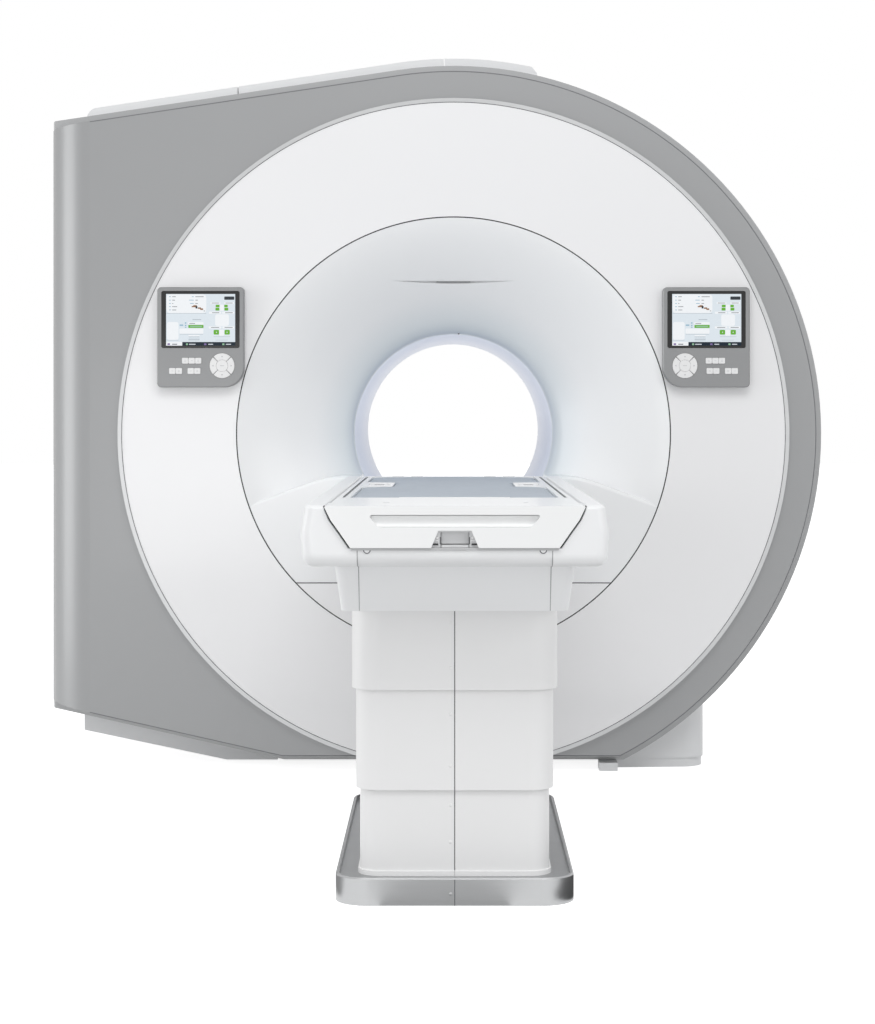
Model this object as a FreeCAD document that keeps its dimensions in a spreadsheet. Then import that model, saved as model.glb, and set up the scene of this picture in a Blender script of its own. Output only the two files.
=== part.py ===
"""Whole-body MRI scanner: gantry, two control panels and docked patient table.

The frame: origin on the floor below the isocentre, +X to the right of someone who faces
the front, +Y away from them along the patient bore, +Z up. All sizes are in millimetres
and degrees. A text such as "bore_radius + liner_wall" is a formula on the sheet's sizes.
"""

import FreeCAD, Part
import Sketcher
import math
import os
import re

from FreeCAD import Placement, Rotation, Vector

SIZES = {
    # patient bore and the isocentre
    "bore_height": 1166,
    "bore_radius": 350,
    "liner_wall": 8,
    "liner_half_length": 640,
    "light_ring_width": 14,
    "light_ring_length": 10,
    "deck_drop": 251,
    # clearances
    "fit_gap": 0.3,
    "cover_gap": 0.8,
    "split_gap": 0.8,
    "panel_gap": 3,
    "groove": 1.5,
    # white disc, its trim ring and the funnel
    "front_face": 900,
    "disc_radius": 1141.7,
    "trim_width": 13,
    "trim_proud": 3,
    "inner_seam_radius": 746,
    "rear_rim": 12,
    "throat_length": 40,
    "throat_share": 0.2,
    "cone_radius": 600,
    "cone_setback": 32,
    "panel_seam_drop": 513,
    "lower_panel_thickness": 15,
    # apron in the lower funnel, where the table docks
    "apron_rise": 2,
    "apron_flat": 430,
    "apron_reach": 700,
    "apron_fall": 20,
    "apron_rim": 3,
    # air outlet above the bore
    "outlet_rise": 531,
    "outlet_half_width": 212,
    "outlet_drop": 15,
    "outlet_depth": 120,
    # grey front shell with its flat left extension
    "shell_setback": 20,
    "shell_depth": 176,
    "shell_rim": 111.3,
    "shell_left": 1404,
    "shell_corner": 150,
    "shell_bottom": 53,
    "shell_knee": 590,
    "seat_overlap": 41.7,
    "top_slope": 8.5,
    "bottom_slope": 12.7,
    # lighter band round the shell's edge
    "band_setback": 90,
    "band_depth": 85,
    "band_width": 30,
    "band_low_width": 24,
    # side, rear and roof covers
    "rear_face": 850,
    "rear_thickness": 12,
    "cover_step": 26,
    "cover_wall": 8,
    "cover_inset": 103,
    "cover_bottom": 15,
    "cover_knee": 799,
    "cover_slope": 11.8,
    "cover_left_end": 620,
    "cover_right_end": 60,
    "roof_thickness": 43,
    "roof_gap": 4,
    "roof_inset": 8,
    "roof_right": 295,
    "roof_seam_left": 760,
    "roof_seam_middle": 33,
    "roof_edge": 18,
    "roof_left_round": 40,
    "rear_mouth_radius": 560,
    "rear_throat": 30,
    "rear_throat_share": 0.25,
    # leg cover and levelling block at the lower right
    "foot_inset": 373,
    "foot_width": 320,
    "foot_setback": 4,
    "foot_clearance": 15,
    "foot_fall": 20,
    "foot_corner": 75,
    "plinth_height": 32,
    "plinth_inset": 5,
    "block_reach": 55,
    "block_out": 75,
    "block_seat": 8,
    # magnet and its feet
    "vessel_radius": 950,
    "coil_thickness": 122,
    "vessel_setback": 20,
    "coil_setback": 40,
    "saddle_inner": 330,
    "saddle_outer": 560,
    "saddle_half_length": 440,
    "saddle_rise": 330,
    "plate_inner": 300,
    "plate_outer": 600,
    "plate_half_length": 500,
    "plate_thickness": 30,
    "anchor_inset": 30,
    "anchor_radius": 11,
    # control panels
    "housing_inset": 275.7,
    "housing_rise": 160,
    "housing_width": 297,
    "housing_height": 343,
    "housing_depth": 40,
    "housing_corner": 14,
    "housing_sweep": 68,
    "housing_edge": 3,
    "screen_side_margin": 15,
    "screen_top_margin": 13.5,
    "screen_foot": 134.5,
    "screen_corner": 4,
    "screen_depth": 5,
    "key_gap": 0.5,
    "key_depth": 6,
    "key_proud": 2,
    "key_well": 3,
    "key_corner": 2,
    "key_split": 1,
    "long_key_width": 67,
    "short_key_width": 45,
    "key_height": 20,
    "key_upper_row": 91,
    "key_lower_row": 56,
    "upper_row_offset": 30,
    "lower_key_outer": 85,
    "lower_key_inner": 22,
    "pad_offset": 74,
    "pad_height": 74,
    "pad_radius": 42.5,
    "pad_inner_radius": 20.8,
    "pad_centre_radius": 20,
    "pad_split": 2,
    # patient table: floor tray and column covers
    "table_centre": -2350,
    "tray_margin": 60,
    "tray_end_margin": 98,
    "tray_rear_margin": 153,
    "tray_height": 70,
    "tray_recess": 14,
    "tray_lip": 9,
    "tray_corner": 85,
    "tray_edge": 4,
    "column_half_width": 245,
    "column_half_length": 512,
    "column_corner": 55,
    "column_step": 10.5,
    "column_wall": 5,
    "column_flare": 5,
    "flare_height": 12,
    "column_overlap": 40,
    "column_lap": 217,
    "middle_column_height": 298,
    "carrier_thickness": 8,
    # telescopic lift inside the columns
    "guide_half_width": 110,
    "guide_half_length": 160,
    "guide_wall": 9,
    "guide_above_column": 13,
    "stage_above_column": 15,
    # frame cover and wings
    "frame_depth": 118,
    "frame_below_board": 150,
    "frame_ceiling_wall": 30,
    "frame_margin": 39,
    "frame_flare": 14,
    "frame_front_reach": 743,
    "frame_front_fall": 50,
    "frame_back": -1100,
    "frame_corner": 30,
    "wing_overhang": 87,
    "wing_rise": 1,
    "wing_lip": 53,
    "wing_bulge": 11,
    "wing_belly_drop": 70,
    "wing_round": 30,
    "wing_foot_inset": 6,
    "wing_bevel": 30,
    "dock_gap": 0.3,
    "centre_panel_half_width": 237,
    "centre_panel_wall": 12,
    "centre_panel_round": 38,
    "centre_panel_back_round": 20,
    "centre_panel_lean": 8,
    # sliding tabletop
    "board_overhang": 10,
    "board_head_length": 160,
    "board_drop": 146,
    "board_depth": 102,
    "board_upper_drop": 34,
    "board_lower_drop": 66,
    "board_half_width": 313,
    "board_upper_inset": 20,
    "board_lower_inset": 42,
    "board_bottom_inset": 74,
    "head_growth": 4,
    "head_upper_growth": 9,
    "head_lower_growth": 8,
    "head_bottom_growth": 15,
    "board_channel_gap": 6,
    "channel_headroom": 60,
    "board_edge": 3,
    # pad inlaid in the tabletop, with its crown
    "pad_setback": 501,
    "pad_back_margin": 40,
    "pad_side_margin": 38,
    "pad_thickness": 18,
    "pad_sink": 2,
    "pad_crown": 3,
    "pad_drawn_in": 3,
    "pad_notch_half_width": 185,
    "pad_notch_setback": 560,
    "pad_notch_length": 400,
    "pad_notch_slant": 30,
    "rail_slot_inset": 19,
    "rail_slot_width": 8,
    "rail_slot_depth": 10,
    "socket_width": 64,
    "socket_length": 120,
    "socket_depth": 12,
    # handle slot and release lever in the tabletop's front
    "handle_top_drop": 22,
    "handle_bottom_drop": 52,
    "handle_top_half_width": 211,
    "handle_bottom_half_width": 186,
    "handle_depth": 45,
    "handle_round": 9,
    "recess_height": 42,
    "recess_top_half_width": 40,
    "recess_bottom_half_width": 58,
    "recess_depth": 70,
    "lever_half_width": 30,
    "lever_setback": 28,
    "lever_thickness": 6,
    "lever_floor_gap": 4,
    "lever_pivot_drop": 10,
    "lever_pin_radius": 4,
    "lever_round": 2,
}

# sizes and places that follow from the ones above
PLACES = {
    "deck_height": "bore_height - deck_drop",
    "throat": "-liner_half_length - light_ring_length",
    "panel_seam_height": "bore_height - panel_seam_drop",
    "outlet_height": "bore_height + outlet_rise",
    "shell_front": "front_face - shell_setback",
    "shell_radius": "disc_radius + shell_rim",
    "shell_hole": "disc_radius - seat_overlap",
    "band_front": "shell_front - band_setback",
    "band_left": "shell_left - groove",
    "underside": "shell_bottom - band_low_width",
    "cover_radius": "shell_radius + cover_step",
    "cover_left": "shell_left - cover_inset",
    "roof_front": "shell_front - shell_depth - roof_gap",
    "roof_left": "cover_left - roof_inset",
    "foot_right": "shell_radius - foot_inset",
    "foot_left": "foot_right - foot_width",
    "foot_front": "band_front - foot_setback",
    "foot_back": "plate_half_length + foot_clearance",
    "block_height": "underside - cover_gap",
    "vessel_bore": "bore_radius + liner_wall + coil_thickness",
    "vessel_half_length": "liner_half_length - vessel_setback",
    "coil_half_length": "liner_half_length - coil_setback",
    "anchor_x": "(plate_inner + plate_outer) / 2",
    "anchor_y": "plate_half_length - anchor_inset",
    "housing_centre": "disc_radius - housing_inset",
    "housing_low": "bore_height + housing_rise",
    "screen_width": "housing_width - 2 * screen_side_margin",
    "screen_height": "housing_height - screen_top_margin - screen_foot",
    "board_top": "bore_height - board_drop",
    "board_bottom": "board_top - board_depth",
    "board_upper": "board_top - board_upper_drop",
    "board_lower": "board_top - board_lower_drop",
    "board_top_half_width": "board_half_width",
    "board_upper_half_width": "board_half_width - board_upper_inset",
    "board_lower_half_width": "board_half_width - board_lower_inset",
    "board_bottom_half_width": "board_half_width - board_bottom_inset",
    "apron_height": "board_top + apron_rise",
    "frame_top": "board_top - frame_below_board",
    "frame_bottom": "frame_top - frame_depth",
    "frame_ceiling": "frame_top - frame_ceiling_wall",
    "frame_bottom_half_width": "column_half_width + frame_margin",
    "frame_top_half_width": "frame_bottom_half_width + frame_flare",
    "frame_front": "table_centre - frame_front_reach",
    "wing_front": "frame_front - wing_overhang",
    "wing_top": "board_top + wing_rise",
    "wing_belly": "board_top - wing_belly_drop",
    "wing_top_half_width": "board_half_width + wing_lip",
    "wing_half_width": "wing_top_half_width + wing_bulge",
    "board_front": "wing_front - board_overhang",
    "tray_half_width": "column_half_width + tray_margin",
    "tray_front": "table_centre - column_half_length - tray_end_margin",
    "tray_back": "table_centre + column_half_length + tray_rear_margin",
    "upper_column_bottom": "frame_bottom - column_lap",
    "middle_column_top": "upper_column_bottom + column_overlap",
    "middle_column_bottom": "middle_column_top - middle_column_height",
    "lower_column_top": "middle_column_bottom + column_overlap",
    "guide_top": "lower_column_top + guide_above_column",
    "stage_bottom": "guide_top - column_overlap",
    "stage_top": "middle_column_top + stage_above_column",
    "mast_bottom": "stage_top - column_overlap",
    "pad_front": "board_front + pad_setback",
    "pad_back": "-front_face - dock_gap - pad_back_margin",
    "pad_half_width": "board_half_width - pad_side_margin",
    "pad_notch_back": "pad_back - pad_notch_setback",
    "pad_notch_front": "pad_notch_back - pad_notch_length",
    "rail_slot_offset": "board_half_width - rail_slot_inset",
    "handle_top": "board_top - handle_top_drop",
    "handle_bottom": "board_top - handle_bottom_drop",
    "recess_top": "board_bottom + recess_height",
    "lever_pivot": "recess_top - lever_pivot_drop",
    "lever_bottom": "board_bottom + lever_floor_gap",
}

doc = FreeCAD.newDocument("mri_scanner")
sheet = doc.addObject("Spreadsheet::Sheet", "size")
for row, (alias, number) in enumerate(SIZES.items(), 1):
    sheet.set(f"A{row}", alias)
    sheet.set(f"B{row}", str(number))
    sheet.setAlias(f"B{row}", alias)
doc.recompute()

pieces = []


def bind(formula):
    """The formula with places written out and each size's name as its cell on the sheet."""

    def written_out(match):
        name = match[0]
        if name in PLACES:
            return f"({bind(PLACES[name])})"
        return f"size.{name}" if name in SIZES else name

    return re.sub(r"[a-z_]+", written_out, formula)


def value(formula):
    """The formula's number at the present sizes."""
    return float(sheet.evalExpression(bind(formula)))


def negative(formula):
    return f"-({formula})"


# ---------------------------------------------------------------- sketches


def pin_point(sketch, tag, geometry, position, x, y):
    """Fix one point of the sketch at two formulas."""
    for axis, formula in (("X", x), ("Y", y)):
        constraint = Sketcher.Constraint(
            f"Distance{axis}", -1, 1, geometry, position, value(formula)
        )
        name = f"{tag}_{axis.lower()}"
        sketch.renameConstraint(sketch.addConstraint(constraint), name)
        sketch.setExpression(f"Constraints.{name}", bind(formula))


def pin_radius(sketch, tag, geometry, radius):
    constraint = Sketcher.Constraint("Radius", geometry, value(radius))
    sketch.renameConstraint(sketch.addConstraint(constraint), tag)
    sketch.setExpression(f"Constraints.{tag}", bind(radius))


def arc_middle(start, end, radius, turn):
    """Middle point of the arc of under a half circle from start to end; turn 1 is anticlockwise."""
    chord = end - start
    sagitta = radius - math.sqrt(max(radius * radius - chord.Length * chord.Length / 4, 0))
    outward = Vector(chord.y, -chord.x, 0).normalize()
    return (start + end) * 0.5 + outward * (sagitta * turn)


def add_arc(sketch, start, middle, end):
    """Arc in the sketch, always anticlockwise, with the point numbers of its start and end."""
    anticlockwise = (middle - start).cross(end - middle).z > 0
    first, last = (start, end) if anticlockwise else (end, start)
    index = sketch.addGeometry(Part.Arc(first, middle, last), False)
    return (index, 1, 2) if anticlockwise else (index, 2, 1)


def draw_outline(sketch, outline):
    """Closed outline through (x, y) or (x, y, corner radius) points.

    ("arc", radius, turn) between two points makes their edge an arc.
    """
    corners, arcs = [], {}
    for item in outline:
        if item[0] == "arc":
            arcs[len(corners) - 1] = item
        else:
            corners.append(item)
    count = len(corners)
    points = [Vector(value(c[0]), value(c[1]), 0) for c in corners]
    radii = [value(c[2]) if len(c) > 2 else 0 for c in corners]

    arrive, leave, middles = [], [], []
    for i, point in enumerate(points):
        back = (points[i - 1] - point).normalize()
        ahead = (points[(i + 1) % count] - point).normalize()
        if radii[i] <= 0:
            arrive.append(point)
            leave.append(point)
            middles.append(None)
            continue
        half = math.acos(max(-1.0, min(1.0, back.dot(ahead)))) / 2
        run = radii[i] / math.tan(half)
        centre = point + (back + ahead).normalize() * (radii[i] / math.sin(half))
        arrive.append(point + back * run)
        leave.append(point + ahead * run)
        middles.append(centre + (point - centre).normalize() * radii[i])

    edges = []
    for i in range(count):
        start, end = leave[i], arrive[(i + 1) % count]
        if i in arcs:
            radius, turn = arcs[i][1:]
            edges.append(add_arc(sketch, start, arc_middle(start, end, value(radius), turn), end))
            pin_radius(sketch, f"arc{i}", edges[-1][0], radius)
        else:
            edges.append((sketch.addGeometry(Part.LineSegment(start, end), False), 1, 2))

    for i, corner in enumerate(corners):
        before, after = edges[i - 1], edges[i]
        if middles[i] is None:
            sketch.addConstraint(
                Sketcher.Constraint("Coincident", before[0], before[2], after[0], after[1])
            )
            pin_point(sketch, f"point{i}", after[0], after[1], corner[0], corner[1])
            continue
        arc, first, last = add_arc(sketch, arrive[i], middles[i], leave[i])
        apex = sketch.addGeometry(Part.Point(points[i]), True)
        pin_point(sketch, f"point{i}", apex, 1, corner[0], corner[1])
        sketch.addConstraint(Sketcher.Constraint("PointOnObject", apex, 1, before[0]))
        sketch.addConstraint(Sketcher.Constraint("PointOnObject", apex, 1, after[0]))
        sketch.addConstraint(Sketcher.Constraint("Tangent", before[0], before[2], arc, first))
        sketch.addConstraint(Sketcher.Constraint("Tangent", arc, last, after[0], after[1]))
        pin_radius(sketch, f"round{i}", arc, corner[2])


def draw_circle(sketch, x, y, radius):
    centre = Vector(value(x), value(y), 0)
    tag = f"circle{sketch.GeometryCount}"
    index = sketch.addGeometry(Part.Circle(centre, Vector(0, 0, 1), value(radius)), False)
    pin_point(sketch, tag, index, 3, x, y)
    pin_radius(sketch, f"{tag}_radius", index, radius)


def add_sketch(body, plane, offset, outlines, rise="0"):
    """Sketch on one of the body's own planes, moved along its normal by offset."""
    sketch = body.newObject("Sketcher::SketchObject", f"{body.Name}_sketch")
    origin = [f for f in body.Origin.OriginFeatures if f.Role == f"{plane}_Plane"]
    sketch.AttachmentSupport = [(origin[0], "")]
    sketch.MapMode = "FlatFace"
    sketch.setExpression("AttachmentOffset.Base.y", bind(rise))
    sketch.setExpression("AttachmentOffset.Base.z", bind(offset))
    for outline in outlines:
        if outline[0] == "circle":
            draw_circle(sketch, *outline[1:])
        else:
            draw_outline(sketch, outline)
    return sketch


# ---------------------------------------------------------------- solids


def new_body(name):
    body = doc.addObject("PartDesign::Body", name)
    body.Label = name
    body.AllowCompound = True
    return body


def grow(body, plane, start, length, *outlines):
    """Add a prism from start, along +X, +Y or +Z, with the plane's other two axes in the sketch."""
    offset = negative(f"{start} + {length}") if plane == "XZ" else start
    sketch = add_sketch(body, plane, offset, outlines)
    pad = body.newObject("PartDesign::Pad", f"{body.Name}_pad")
    pad.Profile = sketch
    pad.setExpression("Length", bind(length))
    sketch.Visibility = False
    return body


def carve(body, plane, start, length, *outlines):
    """Cut a prism away, from start along +X, +Y or +Z."""
    offset = negative(start) if plane == "XZ" else f"{start} + {length}"
    before = solid_volume(body)
    sketch = add_sketch(body, plane, offset, outlines)
    pocket = body.newObject("PartDesign::Pocket", f"{body.Name}_pocket")
    pocket.Profile = sketch
    pocket.setExpression("Length", bind(length))
    if solid_volume(body) > before - 1:
        raise ValueError(f"{body.Label}: a cut took nothing away")
    return body


def solid_volume(body):
    doc.recompute()
    return body.Shape.Volume


def turn_about_bore(body, outline):
    """Add a full turn about the bore axis of an outline in (y, distance from the axis)."""
    sketch = add_sketch(body, "YZ", "0", [outline], rise="bore_height")
    turned = body.newObject("PartDesign::Revolution", f"{body.Name}_turned")
    turned.Profile = sketch
    turned.ReferenceAxis = (sketch, ["H_Axis"])
    turned.Angle = 360
    return body


def dress_edges(body, kind, dimension, size, chosen):
    """Fillet or chamfer the edges of the body for which chosen(edge) is true."""
    doc.recompute()
    names = [f"Edge{i}" for i, edge in enumerate(body.Shape.Edges, 1) if chosen(edge)]
    if not names:
        raise ValueError(f"{body.Label}: no edge to dress")
    base = body.Tip
    dressing = body.newObject(f"PartDesign::{kind}", f"{body.Name}_{kind.lower()}")
    dressing.Base = (base, names)
    dressing.setExpression(dimension, bind(size))
    doc.recompute()
    return body


def round_edges(body, radius, chosen):
    return dress_edges(body, "Fillet", "Radius", radius, chosen)


def bevel_edges(body, size, chosen):
    return dress_edges(body, "Chamfer", "Size", size, chosen)


def lies_at(edge, axis, place, slack=0.01):
    """True where both ends and the middle of the edge have this coordinate."""
    low, high = edge.ParameterRange
    spots = [edge.valueAt(t) for t in (low, (low + high) / 2, high)]
    return all(abs(getattr(spot, axis) - place) < slack for spot in spots)


def keep(piece, name=None):
    """Count a finished piece as a sub-part."""
    if name:
        piece.Label = name
    pieces.append(piece)
    return piece


def prism(name, plane, start, length, *outlines):
    return grow(new_body(name), plane, start, length, *outlines)


def subtract(name, base, *tools):
    """Base with each tool cut away."""
    for number, tool in enumerate(tools, 1):
        cut = doc.addObject("Part::Cut", f"{name}_cut_{number}")
        cut.Base = base
        cut.Tool = tool
        base = cut
    base.Label = name
    return base


def rectangle(low_x, high_x, low_y, high_y, radius="0"):
    return [
        (low_x, low_y, radius),
        (high_x, low_y, radius),
        (high_x, high_y, radius),
        (low_x, high_y, radius),
    ]


def bevelled_box(low_x, high_x, low_y, high_y, bevel):
    """Rectangle with its corners cut off at 45 degrees."""
    return [
        (f"{low_x} + {bevel}", low_y), (f"{high_x} - {bevel}", low_y),
        (high_x, f"{low_y} + {bevel}"), (high_x, f"{high_y} - {bevel}"),
        (f"{high_x} - {bevel}", high_y), (f"{low_x} + {bevel}", high_y),
        (low_x, f"{high_y} - {bevel}"), (low_x, f"{low_y} + {bevel}"),
    ]


def chord_points(x, y, radius, start, stop, chords):
    """Points on an arc about (x, y), from start to stop degrees."""
    turns = [f"({start} + ({stop} - ({start})) * {n} / {chords})" for n in range(chords + 1)]
    return [(f"{x} + ({radius}) * cos{turn}", f"{y} + ({radius}) * sin{turn}") for turn in turns]


def sweep_points(start, bend, stop, chords):
    """Points on the curve that leaves start towards bend and reaches stop from bend."""
    points = []
    for n in range(1, chords + 1):
        t = n / chords
        shares = ((1 - t) ** 2, 2 * t * (1 - t), t ** 2)
        points.append(tuple(
            " + ".join(f"{share:.6f} * ({spot[axis]})"
                       for share, spot in zip(shares, (start, bend, stop)))
            for axis in (0, 1)))
    return points


def part_way(start, stop, share):
    """Point at this share of the line from start to stop."""
    return tuple(f"(1 - {share}) * ({start[axis]}) + {share} * ({stop[axis]})" for axis in (0, 1))


def mirrored(half):
    """Outline from its right half, listed from bottom to top, mirrored in the Y axis."""
    left = [(negative(p[0]), *p[1:]) for p in reversed(half)]
    return list(half) + left


# ---------------------------------------------------------------- gantry front


def shell_outline(radius, left, bottom, knee, slope):
    """Round on the right, with flat slopes to an upright left side and a flat underside."""
    top_x = negative(f"({radius}) * sin(top_slope)")
    top_y = f"bore_height + ({radius}) * cos(top_slope)"
    left_top = f"bore_height + ({radius}) / cos(top_slope) - ({left}) * tan(top_slope)"
    left_low = f"{bottom} + (({left}) - ({knee})) * tan({slope})"
    right_x = f"sqrt(({radius})^2 - (bore_height - ({bottom}))^2)"
    return [
        (negative(knee), bottom),
        (right_x, bottom),
        ("arc", radius, 1),
        (top_x, top_y),
        (negative(left), left_top),
        (negative(left), left_low),
    ]


SHELL = ("shell_radius", "shell_left", "shell_bottom", "shell_knee", "bottom_slope")
COVER = ("cover_radius", "cover_left", "cover_bottom", "cover_knee", "cover_slope")


def front_shell():
    body = prism(
        "front_shell", "XZ", "-shell_front", "shell_depth", shell_outline(*SHELL)
    )
    carve(body, "XZ", "-shell_front", "shell_depth", ("circle", "0", "bore_height", "shell_hole"))
    left, front = -value("shell_left"), -value("shell_front")
    round_edges(body, "shell_corner", lambda e: lies_at(e, "x", left) and lies_at(e, "y", front))
    return keep(body)


def shell_edge_band():
    """Band on the shell's top, right and bottom edges, open on the left."""
    outer = shell_outline(
        "shell_radius + band_width", "band_left", "underside", "shell_knee", "bottom_slope",
    )
    body = prism("shell_edge_band", "XZ", "-band_front", "band_depth", outer)
    inner = shell_outline(
        "shell_radius + fit_gap", "shell_left + band_width", "shell_bottom - fit_gap",
        "shell_knee", "bottom_slope",
    )
    carve(body, "XZ", "-band_front", "band_depth", inner)

    centre_x, centre_y = "(shell_left - shell_corner)", "(shell_front - shell_corner)"
    radius = f"(band_left - {centre_x})"
    start_x = f"-{centre_x} - sqrt({radius}^2 - (band_front - {centre_y})^2)"
    beyond = "-band_left - shell_corner"
    carve(body, "XY", "0", "2 * cover_radius", [
        (start_x, "-band_front"), ("arc", radius, -1), ("-band_left", f"-{centre_y}"),
        (beyond, f"-{centre_y}"), (beyond, "-band_front"),
    ])
    return keep(body)


def disc_trim_ring():
    inner = "disc_radius + cover_gap"
    ring = turn_about_bore(new_body("trim_ring_blank"), rectangle(
        "-front_face - trim_proud", "-shell_front - fit_gap",
        inner, f"{inner} + trim_width"))
    keep(flat_bottomed("disc_trim_ring", ring))


def flat_bottomed(name, body):
    """The round piece without what would hang below the band's underside."""
    below = prism(f"below_{name}", "XZ", "-front_face - 2 * trim_proud", "shell_depth",
                  rectangle("-shell_radius", "shell_radius", "-bore_height", "underside"))
    return subtract(name, body, below)


def front_disc_cover():
    disc = turn_about_bore(new_body("disc_blank"), rectangle(
        "-front_face", "-shell_front - fit_gap", "inner_seam_radius + cover_gap", "disc_radius"))
    keep(flat_bottomed("front_disc_cover", disc))


def board_channel(clearance, floor):
    """Section that the sliding tabletop passes through, open at the top."""
    return mirrored([
        (f"board_bottom_half_width + {clearance}", floor),
        (f"board_lower_half_width + {clearance}", "board_lower"),
        (f"board_upper_half_width + {clearance}", "board_upper"),
        (f"board_top_half_width + {clearance}", "board_top"),
        (f"board_top_half_width + {clearance}", "board_top + channel_headroom"),
    ])


def bore_funnel():
    """Flared mouth from the lit ring to the disc, with the apron that the table docks to."""
    mouth = "-front_face"
    lip = ("throat", "bore_radius")
    turn = ("throat - throat_length", "bore_radius")
    cone_end = (f"{mouth} + cone_setback", "cone_radius")
    cone_start = part_way(turn, cone_end, "throat_share")
    body = turn_about_bore(
        new_body("bore_funnel"),
        [lip, *sweep_points(lip, turn, cone_start, 2),
         *sweep_points(cone_start, cone_end, (mouth, "inner_seam_radius"), 4),
         ("throat", "inner_seam_radius")],
    )
    rim = "inner_seam_radius - apron_rim"
    shoulder = "apron_height - (apron_reach - apron_flat) * tan(apron_fall)"
    seam = "panel_seam_height + cover_gap"
    seam_x = f"sqrt(({rim})^2 - (bore_height - ({seam}))^2)"
    grow(
        body, "XZ", mouth, "front_face + throat",
        [(negative(seam_x), seam), (seam_x, seam), ("arc", rim, 1),
         ("apron_reach", shoulder), ("apron_flat", "apron_height"),
         ("-apron_flat", "apron_height"), ("-apron_reach", shoulder), ("arc", rim, 1)],
    )
    carve(body, "XZ", f"{mouth} - 1", "front_face", board_channel(
        "board_channel_gap", "board_bottom - board_channel_gap"))
    carve(body, "XZ", f"{mouth} - 1", "front_face", rectangle(
        "-front_face", "front_face", "0", seam))
    half = "outlet_half_width"
    sweep = f"(({half})^2 + outlet_drop^2) / (2 * outlet_drop)"
    carve(
        body, "XZ", mouth, "outlet_depth",
        [(negative(half), "outlet_height"), ("arc", sweep, 1), (half, "outlet_height")],
    )
    return keep(body)


def lower_inner_panel():
    radius = "inner_seam_radius"
    x = f"sqrt(({radius})^2 - (bore_height - panel_seam_height)^2)"
    body = prism(
        "lower_inner_panel", "XZ", "-front_face", "lower_panel_thickness",
        [(negative(x), "panel_seam_height"), ("arc", radius, 1), (x, "panel_seam_height")],
    )
    return keep(body)


def bore_tube():
    """Liner with its level deck under the tabletop's path, and the lit ring at its mouth."""
    body = turn_about_bore(new_body("bore_liner"), [
        ("-liner_half_length", "bore_radius"),
        ("liner_half_length", "bore_radius"),
        ("liner_half_length", "bore_radius + liner_wall"),
        ("-liner_half_length", "bore_radius + liner_wall"),
    ])
    radius = "bore_radius + liner_wall / 2"
    x = f"sqrt(({radius})^2 - (bore_height - deck_height)^2)"
    grow(body, "XZ", "-liner_half_length", "2 * liner_half_length",
         [(negative(x), "deck_height"), ("arc", radius, 1), (x, "deck_height")])
    keep(body)
    front = "-liner_half_length - light_ring_length + fit_gap"
    ring = turn_about_bore(new_body("bore_light_ring"), rectangle(
        front, "-liner_half_length - fit_gap", "bore_radius", "bore_radius + light_ring_width"))
    keep(ring)


# ---------------------------------------------------------------- covers behind the front


def roof_line(radius, x):
    """Height of the roof at x, left of where its slope meets the round part."""
    return f"bore_height + ({radius}) / cos(top_slope) + ({x}) * tan(top_slope)"


def roof_round(radius, x):
    return f"bore_height + sqrt(({radius})^2 - ({x})^2)"


def roof_covers():
    low, high = "cover_radius + cover_gap", "cover_radius + roof_thickness"
    start, length = "-roof_front", "roof_front + rear_face"

    def meeting(radius):
        return (negative(f"({radius}) * sin(top_slope)"),
                f"bore_height + ({radius}) * cos(top_slope)")

    left, right = "-roof_left", "-roof_seam_left - panel_gap / 2"
    panels = [("top_cover_left", [
        (left, roof_line(low, left)), (right, roof_line(low, right)),
        (right, roof_line(high, right)), (left, roof_line(high, left), "roof_left_round"),
    ])]
    left, right = "-roof_seam_left + panel_gap / 2", "-roof_seam_middle - panel_gap / 2"
    panels.append(("top_cover_middle", [
        (left, roof_line(low, left)), meeting(low), ("arc", low, -1),
        (right, roof_round(low, right)), (right, roof_round(high, right)),
        ("arc", high, 1), meeting(high), (left, roof_line(high, left)),
    ]))
    left, right = "-roof_seam_middle + panel_gap / 2", "roof_right"
    panels.append(("top_cover_right", [
        (left, roof_round(low, left)), ("arc", low, -1), (right, roof_round(low, right)),
        (right, roof_round(f"{high} - roof_edge", right)),
        (f"{right} - roof_edge", roof_round(high, f"{right} - roof_edge")),
        ("arc", high, 1), (left, roof_round(high, left)),
    ]))
    for name, outline in panels:
        keep(prism(name, "XZ", start, length, outline))


def side_covers():
    start = "-shell_front + shell_depth + fit_gap"
    length = "shell_front - shell_depth + rear_face - rear_thickness - 2 * fit_gap"
    inner = shell_outline(
        "cover_radius - cover_wall", "cover_left - cover_wall", "cover_bottom + cover_wall",
        "cover_knee", "cover_slope",
    )
    window = chord_points("0", "bore_height", "shell_hole", 0, 337.5, 15)
    far = "2 * cover_radius"
    middle_gap = "split_gap / 2"
    for name, side in (("left_side_cover", 1), ("right_side_cover", -1)):
        body = prism(name, "XZ", start, length, shell_outline(*COVER))
        carve(body, "XZ", f"{start} + cover_wall", f"{length} - cover_wall", inner)
        carve(body, "XZ", start, "cover_wall", window)
        away = (negative(middle_gap), far) if side > 0 else (negative(far), middle_gap)
        carve(body, "XZ", start, length, rectangle(*away, "0", far))
        end_x, end_z = ("-cover_left_end", "bore_height / 2") if side > 0 else ("0", "cover_right_end")
        carve(body, "XZ", start, length, rectangle(end_x, far, "0", end_z))
        keep(body)


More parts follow.
